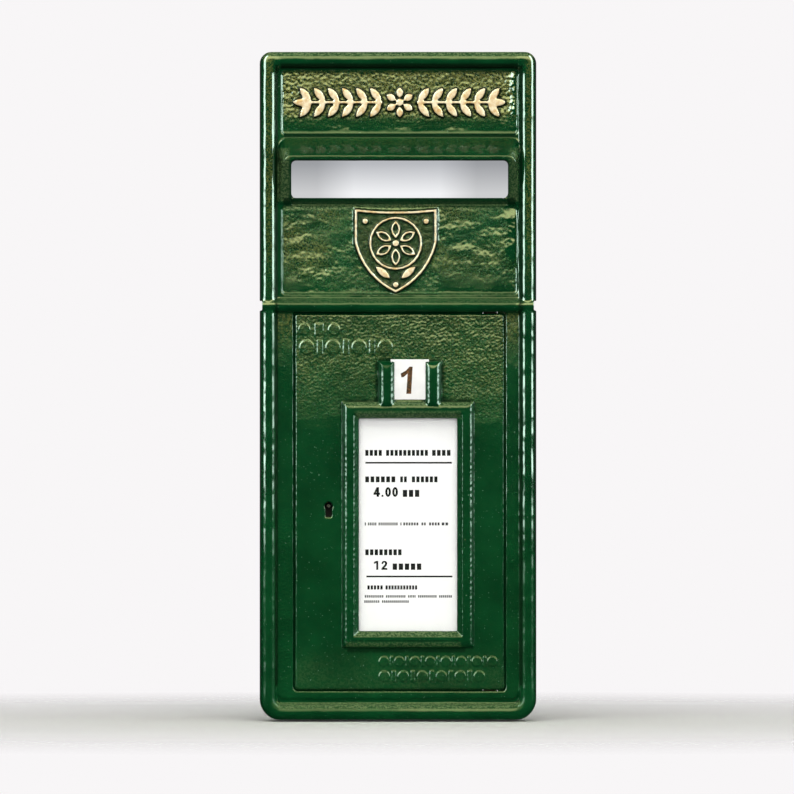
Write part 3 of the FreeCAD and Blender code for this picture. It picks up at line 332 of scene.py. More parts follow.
# Print on the card and the tablet. Words are left, right, top, foot and number of marks
CARD_OUTLINE_MM = ((-36.9, -212.0), (53.9, -212.0), (53.9, -24.0), (-36.9, -24.0))
CARD_H_MM = (18.2, 18.66)
INK_H_MM = (18.66, 18.68)
NUMBER_H_MM = (26.38, 26.48)
BOLD_WORDS_PX = (
    (365.4, 383.1, 449.8, 455.6, 4),
    (386.1, 429.0, 449.8, 455.6, 10),
    (432.0, 451.7, 449.8, 455.6, 4),
    (365.4, 396.7, 476.2, 482.0, 6),
    (400.2, 407.8, 476.2, 482.0, 2),
    (411.8, 438.6, 476.2, 482.0, 6),
    (402.8, 420.9, 489.6, 496.6, 3),
    (365.4, 402.8, 548.9, 554.7, 8),
    (392.7, 422.9, 563.0, 569.3, 5),
    (367.5, 383.6, 584.8, 588.9, 5),
    (385.6, 417.9, 584.8, 588.9, 11),
)
FAINT_WORDS_PX = (
    (364.9, 366.6, 522.1, 525.0, 1),
    (368.0, 377.0, 522.1, 525.0, 5),
    (378.6, 398.2, 522.1, 525.0, 10),
    (400.2, 401.8, 522.1, 525.0, 2),
    (403.3, 419.0, 522.1, 525.0, 6),
    (421.4, 426.5, 522.1, 525.0, 2),
    (429.0, 440.3, 522.1, 525.0, 4),
    (441.6, 449.1, 522.1, 525.0, 2),
    (364.9, 384.0, 594.5, 597.0, 10),
    (386.0, 406.0, 594.5, 597.0, 11),
    (408.0, 416.0, 594.5, 597.0, 5),
    (418.0, 437.0, 594.5, 597.0, 10),
    (439.0, 452.2, 594.5, 597.0, 7),
    (364.4, 380.0, 599.7, 602.2, 8),
    (382.0, 409.3, 599.7, 602.2, 14),
)
BOLD_MARK_SHARE = 0.72
FAINT_MARK_SHARE = 0.68
RULES_PX = ((365.4, 451.7, 461.7, 463.4), (366.4, 452.2, 575.1, 576.8))

# Plain numerals, as shares of their width and of their height from the top down, and
# where they stand: left, top, width and height
ONE = (
    ((0.02, 0.34), (0.02, 0.14), (0.46, 0.0), (0.80, 0.0), (0.80, 1.0), (0.44, 1.0), (0.44, 0.24)),
)
TWO = (
    (
        (0.02, 0.34), (0.10, 0.10), (0.32, 0.0), (0.70, 0.0), (0.94, 0.12), (1.0, 0.30),
        (0.90, 0.52), (0.50, 0.79), (1.0, 0.79), (1.0, 1.0), (0.0, 1.0), (0.04, 0.80),
        (0.56, 0.42), (0.64, 0.30), (0.58, 0.20), (0.48, 0.17), (0.36, 0.21), (0.32, 0.34),
    ),
)
FOUR = (
    ((0.46, 0.0), (0.82, 0.0), (0.32, 0.70), (0.0, 0.70)),
    ((0.0, 0.57), (1.0, 0.57), (1.0, 0.79), (0.0, 0.79)),
    ((0.48, 0.0), (0.84, 0.0), (0.84, 1.0), (0.48, 1.0)),
)
STOP = (((0.0, 0.0), (1.0, 0.0), (1.0, 1.0), (0.0, 1.0)),)
NUMERALS_PX = (
    (FOUR, 373.6, 486.9, 6.5, 9.6),
    (ONE, 373.8, 560.4, 5.6, 8.9),
    (TWO, 381.4, 560.4, 5.9, 8.9),
    (STOP, 381.6, 494.6, 1.8, 1.9),
)
ZEROS_PX = (385.2, 392.2)
ZERO_TOP_PX = 486.8
ZERO_SIZE_PX = (5.8, 9.8)
ZERO_STROKE_PX = 2.3
ZERO_STEPS = 12
TABLET_NUMERAL_PX = (
    (400.7, 373.6), (401.3, 377.4), (403.6, 377.2), (407.6, 373.6), (406.3, 393.8),
    (411.1, 393.8), (412.6, 366.9), (409.6, 366.7), (405.6, 370.9),
)

# Camera and picture
PICTURE_PX = 794
MM_PER_PX = 0.8533
CAMERA_DISTANCE = 6.0
SENSOR_MM = 36.0
OBJECT_CENTRE_PX = (398.0, 386.0)

# Floor: a soft-edged white disc just below the casting
FLOOR_Z_MM = -285.3
FLOOR_RADIUS = 1.5
FLOOR_SIDES = 96
FLOOR_TINT = (206, 203, 203)
FLOOR_ROUGHNESS = 0.6
FLOOR_STRETCH = (0.9, 1.6, 1.0)
FLOOR_FADE = (0.10, 0.95)

# The studio's bright panes, which only the gloss picks up: turns and rises in degrees,
# and how soft they are across and up. Then their colours and strengths.
WARM_PANE = ((-75.0, 75.0), (13.0, 46.0), 30.0, 14.0)
LEFT_PANE = ((-67.0, -37.0), (-0.6, 58.0), 7.0, 2.4)
RIGHT_PANE = ((54.0, 84.0), (-0.6, 58.0), 7.0, 2.4)
REAR_TURNS = (96.0, 132.0)
WARM = (0.96, 1.0, 0.44, 1.0)
COOL = (0.74, 1.0, 0.86, 1.0)
WHITE = (1.0, 1.0, 1.0, 1.0)
DIM = (0.35, 0.50, 0.36, 1.0)
WARM_STRENGTH = 6.0
COOL_STRENGTH = 15.5
REAR_STRENGTH = 0.02
DIM_STRENGTH = 0.018
FILL_STRENGTH = 0.40

# The backdrop, and the shade that the camera sees through the letter slot
BACKDROP = (248, 246, 247)
SLOT_ACROSS = (0.95, 1.06)
SLOT_RISE = (1.59, 2.45, 0.06)
SHADE_RISE = (1.90, 1.66)
SHADE_ENDS = (0.35, 0.65)
SHADE_TOP = (184, 186, 191)
SHADE_FOOT = (242, 243, 245)
SHADE_CORNER = (70, 72, 74)
SHADE_CORNER_SHARE = 0.34

# Lamps: name, place, width, height, watts and tint. They point at the frame's middle
LAMPS = (
    ("overhead", (0.0, -1.2, 1.6), 1.8, 1.0, 28.0, (1.0, 0.99, 0.98)),
    ("front", (0.0, -2.8, 0.4), 2.0, 1.4, 43.5, (1.0, 1.0, 1.0)),
)

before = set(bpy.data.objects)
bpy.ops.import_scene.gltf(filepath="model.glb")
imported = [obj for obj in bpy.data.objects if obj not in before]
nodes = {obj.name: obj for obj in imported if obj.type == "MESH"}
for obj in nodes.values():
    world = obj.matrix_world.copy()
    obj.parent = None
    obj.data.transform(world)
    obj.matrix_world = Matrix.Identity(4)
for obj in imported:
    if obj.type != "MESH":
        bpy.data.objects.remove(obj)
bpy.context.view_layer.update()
scene = bpy.context.scene


def rising(value, low, high, least=0.0):
    """The least below low, 1 above high and soft between."""
    share = np.clip((value - low) / (high - low), 0.0, 1.0)
    return least + (1 - least) * (share * share * (3.0 - 2.0 * share))


def falling(value, low, high, least=0.0):
    """1 below low, the least above high and soft between."""
    return 1 - (1 - least) * rising(value, low, high)


def band(value, low, high, soft):
    """1 between low and high, soft inside its ends, 0 outside."""
    return rising(value, low, low + soft) * falling(value, high - soft, high)


def patch(x, z, box, soft):
    """1 in a box of the front, soft inside its sides, 0 outside."""
    return band(x, box[0], box[1], soft) * band(z, box[2], box[3], soft)


def summed_patches(x, z, table):
    """Patches on top of each other."""
    return sum(strength * patch(x, z, box, soft) for box, soft, strength in table)


def within(x, z, box):
    """Which points lie in a box of the front."""
    return (x > box[0]) & (x < box[1]) & (z > box[2]) & (z < box[3])


def noise(x, z, size, seed):
    """Gradient noise of about -1 to 1 on a plane, with features of about this size."""
    turn = NOISE_TURN[0] + NOISE_TURN[1] * seed
    u = (x * math.cos(turn) - z * math.sin(turn)) / size + NOISE_SHIFT[0] * seed
    v = (x * math.sin(turn) + z * math.cos(turn)) / size + NOISE_SHIFT[1] * seed
    angles = np.random.default_rng(seed).uniform(0, 2 * math.pi, (NOISE_COUNT, NOISE_COUNT))
    column = np.floor(u).astype(int)
    row = np.floor(v).astype(int)
    fu = u - column
    fv = v - row

    def corner(across, up):
        """The slope of one corner of each point's cell, at the point."""
        angle = angles[(column + across) % NOISE_COUNT, (row + up) % NOISE_COUNT]
        return np.cos(angle) * (fu - across) + np.sin(angle) * (fv - up)

    def eased(share):
        """The usual fifth-power curve from 0 to 1, without a kink at its ends."""
        return share * share * share * (share * (share * 6 - 15) + 10)

    su = eased(fu)
    sv = eased(fv)
    low = corner(0, 0) * (1 - su) + corner(1, 0) * su
    high = corner(0, 1) * (1 - su) + corner(1, 1) * su
    return NOISE_GAIN * (low * (1 - sv) + high * sv)


def wave(x, z, layer):
    """Noise of a layer's height, feature size and seed."""
    height, size, seed = layer
    return height * noise(x, z, size, seed)


def waves(x, z, layers):
    """Layers of noise on top of each other."""
    return sum(wave(x, z, layer) for layer in layers)


def settled(piece):
    """Turn the modifiers of a piece into its mesh."""
    graph = bpy.context.evaluated_depsgraph_get()
    mesh = bpy.data.meshes.new_from_object(piece.evaluated_get(graph), depsgraph=graph)
    piece.modifiers.clear()
    piece.data = mesh
    return mesh


def coordinates(mesh):
    """The places of a mesh's vertices, in millimetres."""
    flat = np.zeros(len(mesh.vertices) * 3)
    mesh.vertices.foreach_get("co", flat)
    return flat.reshape(-1, 3) / MM


def normals(mesh):
    """The normals of a mesh's vertices."""
    flat = np.zeros(len(mesh.vertices) * 3)
    mesh.vertex_normals.foreach_get("vector", flat)
    return flat.reshape(-1, 3)


def raised(mesh, skin):
    """Move a mesh's vertices out along their normals, by what skin says in millimetres."""
    points = coordinates(mesh)
    facing = normals(mesh)
    rise = skin(points, facing) * front_share(points, facing)
    mesh.vertices.foreach_set("co", ((points + facing * rise[:, None]) * MM).ravel())
    mesh.update()


def store(mesh, name, values):
    """Keep one number for each vertex, for the material to read."""
    layer = mesh.attributes.new(name, "FLOAT", "POINT")
    layer.data.foreach_set("value", values.astype(np.float32))


def split(points):
    """The x, h and z of points."""
    return points[:, 0], -points[:, 1], points[:, 2]


def slanted(x, h, z):
    """Places for waves that also change from the front of a moulding to its side."""
    return x + SLANT * h, z + SLANT * h


def cells(points, cell):
    """The column and row of each point on a map of the front, and the map's shape."""
    shape = (int(2 * GRID_X_MM / cell), int(2 * GRID_Z_MM / cell))
    column = ((points[:, 0] + GRID_X_MM) / cell).astype(int)
    row = ((points[:, 2] + GRID_Z_MM) / cell).astype(int)
    return np.clip(column, 0, shape[0] - 1), np.clip(row, 0, shape[1] - 1), shape


def steps(reach):
    """Every step across and up of at most this many cells."""
    return itertools.product(range(-reach, reach + 1), repeat=2)


def hollows(points, facing):
    """How deep each point lies below what stands round it, in millimetres."""
    column, row, shape = cells(points, HOLLOW_CELL_MM)
    heights = -points[:, 1]
    front = facing[:, 1] < 0
    grid = np.zeros(shape)
    np.maximum.at(grid, (column[front], row[front]), heights[front])
    around = np.zeros(shape)
    count = 0
    for across, up in steps(HOLLOW_REACH):
        if across * across + up * up <= HOLLOW_REACH * HOLLOW_REACH:
            around += np.roll(grid, (across, up), (0, 1))
            count += 1
    return around[column, row] / count - heights


def relief_shadow(points, painted):
    """1 in a painted shadow close round the cream relief, soft at its outer side."""
    column, row, shape = cells(points, OUTLINE_CELL_MM)
    grid = np.zeros(shape)
    grid[column[painted], row[painted]] = 1.0
    near = np.zeros(shape)
    for across, up in steps(OUTLINE_REACH):
        away = math.hypot(across, up) * OUTLINE_CELL_MM
        share = min(1.0, (OUTLINE_MM + OUTLINE_SOFT_MM - away) / OUTLINE_SOFT_MM)
        if share > 0:
            near = np.maximum(near, share * np.roll(grid, (across, up), (0, 1)))
    return near[column, row]


def dressed(node, name, voxel_mm):
    """A fine copy of a casting: even mesh, softened in front and exact behind."""
    mesh = nodes[node].data.copy()
    joined = bmesh.new()
    joined.from_mesh(mesh)
    bmesh.ops.remove_doubles(joined, verts=joined.verts, dist=JOIN_DISTANCE)
    joined.to_mesh(mesh)
    joined.free()
    piece = bpy.data.objects.new(name, mesh)
    scene.collection.objects.link(piece)
    remesh = piece.modifiers.new("even", "REMESH")
    remesh.mode = "VOXEL"
    remesh.voxel_size = voxel_mm * MM
    settled(piece)
    wrap = piece.modifiers.new("exact", "SHRINKWRAP")
    wrap.target = nodes[node]
    wrap.wrap_method = "NEAREST_SURFACEPOINT"
    heights = -coordinates(settled(piece))[:, 1]
    front = piece.vertex_groups.new(name="front")
    for number in np.nonzero(heights > BACK_KEPT_BELOW_MM)[0]:
        front.add([int(number)], 1.0, "REPLACE")
    soften = piece.modifiers.new("soften", "SMOOTH")
    soften.factor = SOFTEN_FACTOR
    soften.iterations = SOFTEN_TIMES
    soften.vertex_group = "front"
    settled(piece)
    return piece


def face_corners(mesh):
    """The vertex at each corner of a mesh's faces, and where each face's corners start."""
    corners = np.zeros(len(mesh.loops), dtype=int)
    mesh.loops.foreach_get("vertex_index", corners)
    starts = np.zeros(len(mesh.polygons), dtype=int)
    mesh.polygons.foreach_get("loop_start", starts)
    return corners, starts


def sharpen(mesh):
    """Mark the edges of the exact back as sharp."""
    made = bmesh.new()
    made.from_mesh(mesh)
    top = (BACK_KEPT_BELOW_MM + FADE_MM) * MM
    for edge in made.edges:
        behind = all(-corner.co.y < top for corner in edge.verts)
        if behind and edge.calc_face_angle(0.0) > SHARP_ANGLE:
            edge.smooth = False
    made.to_mesh(mesh)
    made.free()


def thinned(piece):
    """Bring a piece under its number of triangles, with the plain faces behind shaded flat."""
    mesh = piece.data
    mesh.calc_loop_triangles()
    most = MOST_TRIANGLES
    thin = piece.modifiers.new("thin", "DECIMATE")
    thin.ratio = min(1.0, most / len(mesh.loop_triangles))
    mesh = settled(piece)
    facing = np.zeros(len(mesh.polygons) * 3)
    mesh.polygons.foreach_get("normal", facing)
    square = np.abs(facing.reshape(-1, 3)).max(axis=1) > SQUARE_FACE
    corners, starts = face_corners(mesh)
    highest = np.maximum.reduceat(-coordinates(mesh)[corners, 1], starts)
    mesh.polygons.foreach_set("use_smooth", ~(square & (highest < FLAT_SHADED_BELOW_MM)))
    sharpen(mesh)
    return mesh


def front_share(points, facing):
    """1 on what faces the street, 0 behind and on the sides of the back."""
    high = rising(-points[:, 1], BACK_KEPT_BELOW_MM, BACK_KEPT_BELOW_MM + FADE_MM)
    return high * rising(-facing[:, 1], *AWAY_FACING)


def front_zones(points, facing):
    """How far each point lies in the header, in the lower field and in the door's border."""
    x, h, z = split(points)
    header = patch(x, z, HEADER_MM, FIELD_SOFT_MM) * falling(h, *HEADER_RELIEF_H_MM)
    header *= rising(z + wave(x, z, HEADER_WANDER), *HEADER_CALM_MM)
    lower = patch(x, z, LOWER_FIELD_MM, FIELD_SOFT_MM) * falling(h, *LOWER_RELIEF_H_MM)
    lower *= rising(z + wave(x, z, LOWER_WANDER), *LOWER_CALM_MM)
    border = falling(z, *BORDER_TOP_MM) * falling(h, *BORDER_MOULDING_H_MM)
    border *= rising(-facing[:, 1], *FLAT_FACING) * rising(z, *BORDER_CALM_MM)
    return header, lower, border


def front_skin(points, facing):
    """How far the front's skin stands out, rough in its fields and wavy on its mouldings."""
    x, h, z = split(points)
    header, lower, border = front_zones(points, facing)
    rest = 1 - np.clip(header + lower + border, 0, 1)
    rest *= 1 - patch(x, z, SHIELD_MM, SHIELD_SOFT_MM)
    rest *= 1 - patch(x, z, HEADER_MM, FIELD_SOFT_MM)
    ends = 1.0 + HEADER_ENDS_MORE * rising(np.abs(x - SHIFT_MM), *HEADER_ENDS_MM)
    rise = header * ends * waves(x, z, HEADER_WAVES)
    rise += header * HEADER_BULGE_MM * rising(x, *HEADER_BULGE_X_MM)
    along = x * STROKES_ALONG[0] + z * STROKES_ALONG[1]
    across = x * STROKES_ACROSS[0] + z * STROKES_ACROSS[1]
    broad = rising(wave(x, z, LOWER_BROAD), *BROAD_EDGE)
    rise += lower * broad * (wave(along, across, LOWER_STROKES) + waves(x, z, LOWER_WAVES))
    bulge = patch(x, z, LOWER_BULGE_BOX_MM, LOWER_BULGE_SOFT_MM)
    rise += lower * LOWER_BULGE_MM * rising(x, *LOWER_BULGE_X_MM) * bulge
    rise += patch(x, z, SHIELD_MM, SHIELD_EDGE_MM) * wave(x, z, SHIELD_WAVE)
    rise += border * waves(x, z, BORDER_WAVES)
    seen = rising(-facing[:, 1], *MOULDING_SEEN_FACING)
    return rise + rest * seen * waves(*slanted(x, h, z), MOULDING_WAVES)


def cream_from(x, h, z):
    """The height from which each point of the front is cream."""
    cream = np.full(len(x), NO_CREAM_MM)
    cream[within(x, z, BANNER_MM) & (h < BANNER_BELOW_H_MM)] = CREAM_FROM_HEADER_MM
    cream[within(x, z, SHIELD_MM) & (h < SHIELD_BELOW_H_MM)] = CREAM_FROM_SHIELD_MM
    return cream


def plain_sheen(z):
    """How glossy the front is where nothing else is said: less towards its foot."""
    return rising(z, *FOOT_SHEEN_MM)


def front_sheen(x, h, z):
    """How glossy the front is: most on its upright rails, less on its level mouldings."""
    sheen = plain_sheen(z)
    sheen[within(x, z, TOP_RIM_MM) & (h > FACE_H_MM)] = TOP_RIM_SHEEN
    for box, share in SHEEN_MM:
        sheen[within(x, z, box)] = share
    sheen[within(x, z, LEFT_OF_DOOR_MM)] *= LEFT_OF_DOOR_SHEEN
    return sheen


def ledge_highlight(h, z, facing):
    """Painted highlight on what faces up: none on the hood and less on the cross bead."""
    ledges = LEDGE_HIGHLIGHT * rising(facing[:, 2], *LEDGE_UP_FACING)
    ledges *= 1 - band(z, *HOOD_NO_HIGHLIGHT_MM)
    ledges *= 1 - CROSS_LESS_HIGHLIGHT * band(z, *CROSS_LESS_HIGHLIGHT_MM)
    return ledges * rising(h, BACK_KEPT_BELOW_MM, FIELD_H_MM)


def painted_shade(points, facing, table):
    """Painted shade: in hollows and in a table's boxes."""
    x, _, z = split(points)
    layers = [HOLLOW_PAINTED_SHADE * rising(hollows(points, facing), *HOLLOW_DEPTH_MM)]
    layers += [strength * patch(x, z, box, soft) for box, soft, strength in table]
    return np.maximum.reduce(layers)


def front_painted_reflection(x, z, header, lower, border):
    """How olive a painted warm reflection makes it: most on the header, in patches lower down."""
    patches = LOWER_OLIVE[1] * rising(wave(x, z, OLIVE_PATCHES), *OLIVE_EDGE)
    upper = rising(z + wave(x, z, OLIVE_WANDER), *LOWER_OLIVE_Z_MM)
    crest = band(np.abs(x - SHIFT_MM), *CREST_MM) * rising(z, *CREST_OLIVE_MM)
    share = HEADER_OLIVE * header * rising(z, *HEADER_OLIVE_MM)
    share += lower * (LOWER_OLIVE[0] + patches) * upper * falling(x, *LOWER_OLIVE_X_MM)
    share += summed_patches(x, z, HOOD_PAINTED_REFLECTION) + CREST_OLIVE * crest
    return np.clip(share + BORDER_OLIVE * border * rising(z, *BORDER_OLIVE_MM), 0, 1)


def dressed_front():
    """The front casting, with the numbers that its enamel reads."""
    piece = dressed("front_casting", "front_enamel_casting", FRONT_VOXEL_MM)
    raised(piece.data, front_skin)
    mesh = thinned(piece)
    points = coordinates(mesh)
    facing = normals(mesh)
    x, h, z = split(points)
    outer = front_share(points, facing)
    cream = cream_from(x, h, z)
    store(mesh, "cream_from", cream)
    header, lower, border = front_zones(points, facing)
    shield = patch(x, z, SHIELD_MM, SHIELD_EDGE_MM) * falling(h, *SHIELD_RELIEF_H_MM)
    lower = np.maximum(lower, SHIELD_LIKE_LOWER * shield)
    grain = HEADER_GRAIN * header + LOWER_GRAIN * lower + BORDER_GRAIN * border
    store(mesh, "grain", outer * np.clip(grain, 0, 1))
    # Painted warm reflection, olive, most on the header
    store(mesh, "painted_reflection", outer * front_painted_reflection(x, z, header, lower, border))
    back = plain_sheen(z) * falling(facing[:, 2], *MATT_UP_FACING_BEHIND)
    seen = front_sheen(x, h, z) * falling(facing[:, 2], *MATT_UP_FACING)
    store(mesh, "sheen", back + outer * (seen - back))
    # Painted highlights, paler, on up-facing ledges, the cheeks and the brow
    painted_highlight = ledge_highlight(h, z, facing) * (1 - header) * (1 - lower) + summed_patches(x, z, CHEEK_HIGHLIGHT)
    painted_highlight += summed_patches(x, z, BROW_HIGHLIGHT) * falling(x, *BROW_HIGHLIGHT_X_MM)
    store(mesh, "painted_highlight", outer * np.clip(painted_highlight, 0, 1))
    # Painted shadow round the cream relief
    near = relief_shadow(points, h > cream)
    store(mesh, "relief_shadow", near)
    near[h > cream] = 0
    # Painted shade in hollows, recesses, on the hood and round the cream relief
    hood = HOOD_PAINTED_SHADE * patch(x, z, HOOD_MM, FIELD_SOFT_MM) * rising(h, *HOOD_PAINTED_SHADE_H_MM)
    front_shade = np.maximum(painted_shade(points, facing, FRONT_PAINTED_SHADE), hood)
    store(mesh, "painted_shade", outer * np.maximum(front_shade, RELIEF_PAINTED_SHADE * near))
    return piece


def low_rows(x, z):
    """1 on the low relief rows of the door."""
    return np.maximum.reduce([patch(x, z, box, ROWS_EDGE_MM) for box in ROWS_MM])


def door_roughness(x, z):
    """The door is rough at its top, most of all at the upper right, and smooth lower down."""
    least, top, corner = DOOR_ROUGH
    high = rising(z + wave(x, z, DOOR_WANDER), *DOOR_ROUGH_Z_MM)
    right = rising(x, *DOOR_ROUGH_X_MM)
    return np.clip(least + top * high + corner * high * right, 0, 1)


def door_skin(points, facing):
    """How far the door's skin stands out: thick paint over sand-cast iron."""
    x, h, z = split(points)
    flat = rising(-facing[:, 1], *FLAT_FACING) * falling(h, *DOOR_FACE_H_MM)
    rows = low_rows(x, z)
    rough = door_roughness(x, z) * (1 - ROWS_CALM * rows)
    broad = (DOOR_BROAD[0] + DOOR_BROAD[1] * rough) * wave(x, z, DOOR_BROAD_WAVE)
    face = rough * waves(x, z, DOOR_GRAIN_WAVES) + broad + wave(x, z, DOOR_CALM_WAVE)
    sunk = ROWS_SUNK * np.clip(h - FACE_H_MM, 0, 1)
    rise = flat * face
    rise += rows * rising(-facing[:, 1], *SIDE_FACING) * (wave(x, z, ROWS_WAVE) - sunk)
    return rise + (1 - flat) * waves(*slanted(x, h, z), DOOR_MOULDING_WAVES)


def dressed_door():
    """The door casting, with the numbers that its enamel reads."""
    piece = dressed("door_casting", "door_enamel_casting", DOOR_VOXEL_MM)
    raised(piece.data, door_skin)
    mesh = thinned(piece)
    points = coordinates(mesh)
    facing = normals(mesh)
    x, h, z = split(points)
    outer = front_share(points, facing)
    store(mesh, "cream_from", np.full(len(x), NO_CREAM_MM))
    rough = rising(-facing[:, 1], *FLAT_FACING) * falling(h, *DOOR_GRAIN_H_MM)
    rough *= door_roughness(x, z)
    store(mesh, "grain", rough)
    # Painted warm reflection, olive, where the door is rough
    patches = rising(wave(x, z, DOOR_OLIVE_PATCHES), *DOOR_OLIVE_EDGE)
    store(mesh, "painted_reflection", DOOR_OLIVE * rising(rough, *DOOR_OLIVE_ROUGH) * patches)
    # Painted highlights on ledges, the notice frame's bevels and the door's foot
    painted_highlight = ledge_highlight(h, z, facing) * (1 - low_rows(x, z)) * falling(z, *DOOR_LEDGES_MM)
    uneven = DOOR_FOOT_EVEN + wave(x, z, DOOR_FOOT_WAVE)
    painted_highlight += DOOR_FOOT_HIGHLIGHT * falling(z, *DOOR_FOOT_MM) * uneven
    painted_highlight += summed_patches(x, z, NOTICE_HIGHLIGHT) * rising(h, *NOTICE_HIGHLIGHT_H_MM)
    store(mesh, "painted_highlight", outer * np.clip(painted_highlight, 0, 1))
    # Painted shade in hollows and below the notice frame
    store(mesh, "painted_shade", outer * painted_shade(points, facing, DOOR_PAINTED_SHADE))
    store(mesh, "relief_shadow", np.zeros(len(x)))
    sheen = DOOR_SHEEN * (1 + sum(rising(z, *ramp) for ramp in DOOR_SHEEN_RAMPS_MM))
    tops = patch(x, z, UPRIGHT_TOPS_MM, UPRIGHT_TOPS_SOFT_MM)
    store(mesh, "sheen", sheen * (1 - UPRIGHT_TOPS_MATT * tops))
    return piece


class Graph:
    """A tree of nodes, with short calls to add and join them."""

    def __init__(self, tree):
        self.tree = tree

    def add(self, kind, settings=None, **inputs):
        """A node with its settings, and inputs that are values or other nodes' outputs."""
        node = self.tree.nodes.new(kind)
        for key, value in (settings or {}).items():
            setattr(node, key, value)
        for key, value in inputs.items():
            self.feed(node, key, value)
        return node

    def feed(self, node, key, value):
        """Join an output to an input, or set its value. Input 3, say, is named i3."""
        numbered = key[0] == "i" and key[1:].isdigit()
        socket = node.inputs[int(key[1:]) if numbered else key]
        if isinstance(value, bpy.types.NodeSocket):
            self.tree.links.new(value, socket)
        else:
            socket.default_value = value

    def math(self, kind, first, second=0.0, clamp=False):
        """The result of one sum."""
        settings = {"operation": kind, "use_clamp": clamp}
        return self.add("ShaderNodeMath", settings, i0=first, i1=second).outputs[0]

    def between(self, value, low, high, start=0.0, end=1.0):
        """A value's place between low and high, kept within them and scaled to start and end."""
        ends = {"From Min": low, "From Max": high, "To Min": start, "To Max": end}
        made = self.add("ShaderNodeMapRange", {"clamp": True}, Value=value, **ends)
        return made.outputs[0]

    def mix(self, share, first, second):
        """A colour between two."""
        made = self.add("ShaderNodeMix", {"data_type": "RGBA"}, i0=share, i6=first, i7=second)
        return made.outputs[2]

    def noise(self, where, scale, detail, rough):
        """Noise over the object."""
        sizes = dict(Scale=scale, Detail=detail, Roughness=rough)
        return self.add("ShaderNodeTexNoise", None, Vector=where, **sizes).outputs["Fac"]

    def clouds(self, where, scale, detail, rough, low, high):
        """Noise that is 0 below low and 1 above high."""
        return self.between(self.noise(where, scale, detail, rough), low, high)


class Shader(Graph):
    """A material's nodes."""

    def __init__(self, name):
        self.material = bpy.data.materials.new(name)
        self.material.use_nodes = True
        super().__init__(self.material.node_tree)
        self.surface = self.tree.nodes["Principled BSDF"]

    def attribute(self, name):
        """A number kept for each vertex."""
        return self.add("ShaderNodeAttribute", {"attribute_name": name}).outputs["Fac"]

    def object_place(self):
        """The place on the object."""
        return self.add("ShaderNodeTexCoord").outputs["Object"]

    def bump(self, height, strength, distance, normal=None):
        """A bump of this height in metres."""
        sizes = dict(Height=height, Strength=strength, Distance=distance)
        made = self.add("ShaderNodeBump", None, **sizes)
        if normal is not None:
            self.feed(made, "Normal", normal)
        return made.outputs["Normal"]

    def set(self, **values):
        """Values of the surface, with spaces in their names written as underscores."""
        for key, value in values.items():
            self.feed(self.surface, key.replace("_", " "), value)


class Sky(Graph):
    """The world's nodes, which pick colours by direction."""

    def __init__(self, name):
        self.world = bpy.data.worlds.new(name)
        self.world.use_nodes = True
        super().__init__(self.world.node_tree)
        self.tree.nodes.clear()
        where = self.add("ShaderNodeTexCoord").outputs["Generated"]
        axes = self.add("ShaderNodeSeparateXYZ", None, Vector=where)
        right, deep, up = axes.outputs
        flat = self.add("ShaderNodeCombineXYZ", None, X=right, Y=deep)
        level = self.add("ShaderNodeVectorMath", {"operation": "LENGTH"}, i0=flat.outputs[0])
        self.rise = self.degrees(up, level.outputs["Value"])
        self.turn = self.degrees(right, self.math("MULTIPLY", deep, -1.0))
        self.across = self.math("ABSOLUTE", self.degrees(right, deep))

    def degrees(self, tall, wide):
        """The angle of a direction, in degrees."""
        return self.math("MULTIPLY", self.math("ARCTAN2", tall, wide), 180 / math.pi)

    def span(self, value, low, high, soft):
        """1 from low to high, soft at both ends."""
        start = self.between(value, low - soft / 2, low + soft / 2)
        end = self.between(value, high - soft / 2, high + soft / 2, 1.0, 0.0)
        return self.math("MULTIPLY", start, end)

    def pane(self, turns, rises, soft_turn, soft_rise):
        """A soft-edged bright rectangle in the studio."""
        across = self.span(self.turn, *turns, soft_turn)
        return self.math("MULTIPLY", across, self.span(self.rise, *rises, soft_rise))

    def light(self, tint, strength):
        """A light of this colour and strength."""
        return self.add("ShaderNodeBackground", None, Color=tint, Strength=strength).outputs[0]

    def glow(self, share, tint, strength):
        """A light where share is 1."""
        return self.light(tint, self.math("MULTIPLY", share, strength))

    def plus(self, first, second):
        """Two lights together."""
        return self.add("ShaderNodeAddShader", None, i0=first, i1=second).outputs[0]

    def choose(self, share, first, second):
        """One light or the other."""
        return self.add("ShaderNodeMixShader", None, i0=share, i1=first, i2=second).outputs[0]


def colour(red, green, blue):
    """A colour from its usual 0 to 255 numbers."""
    linear = []
    for part in (red, green, blue):
        share = part / 255
        linear.append(share / 12.92 if share <= 0.04045 else ((share + 0.055) / 1.055) ** 2.4)
    return (*linear, 1.0)


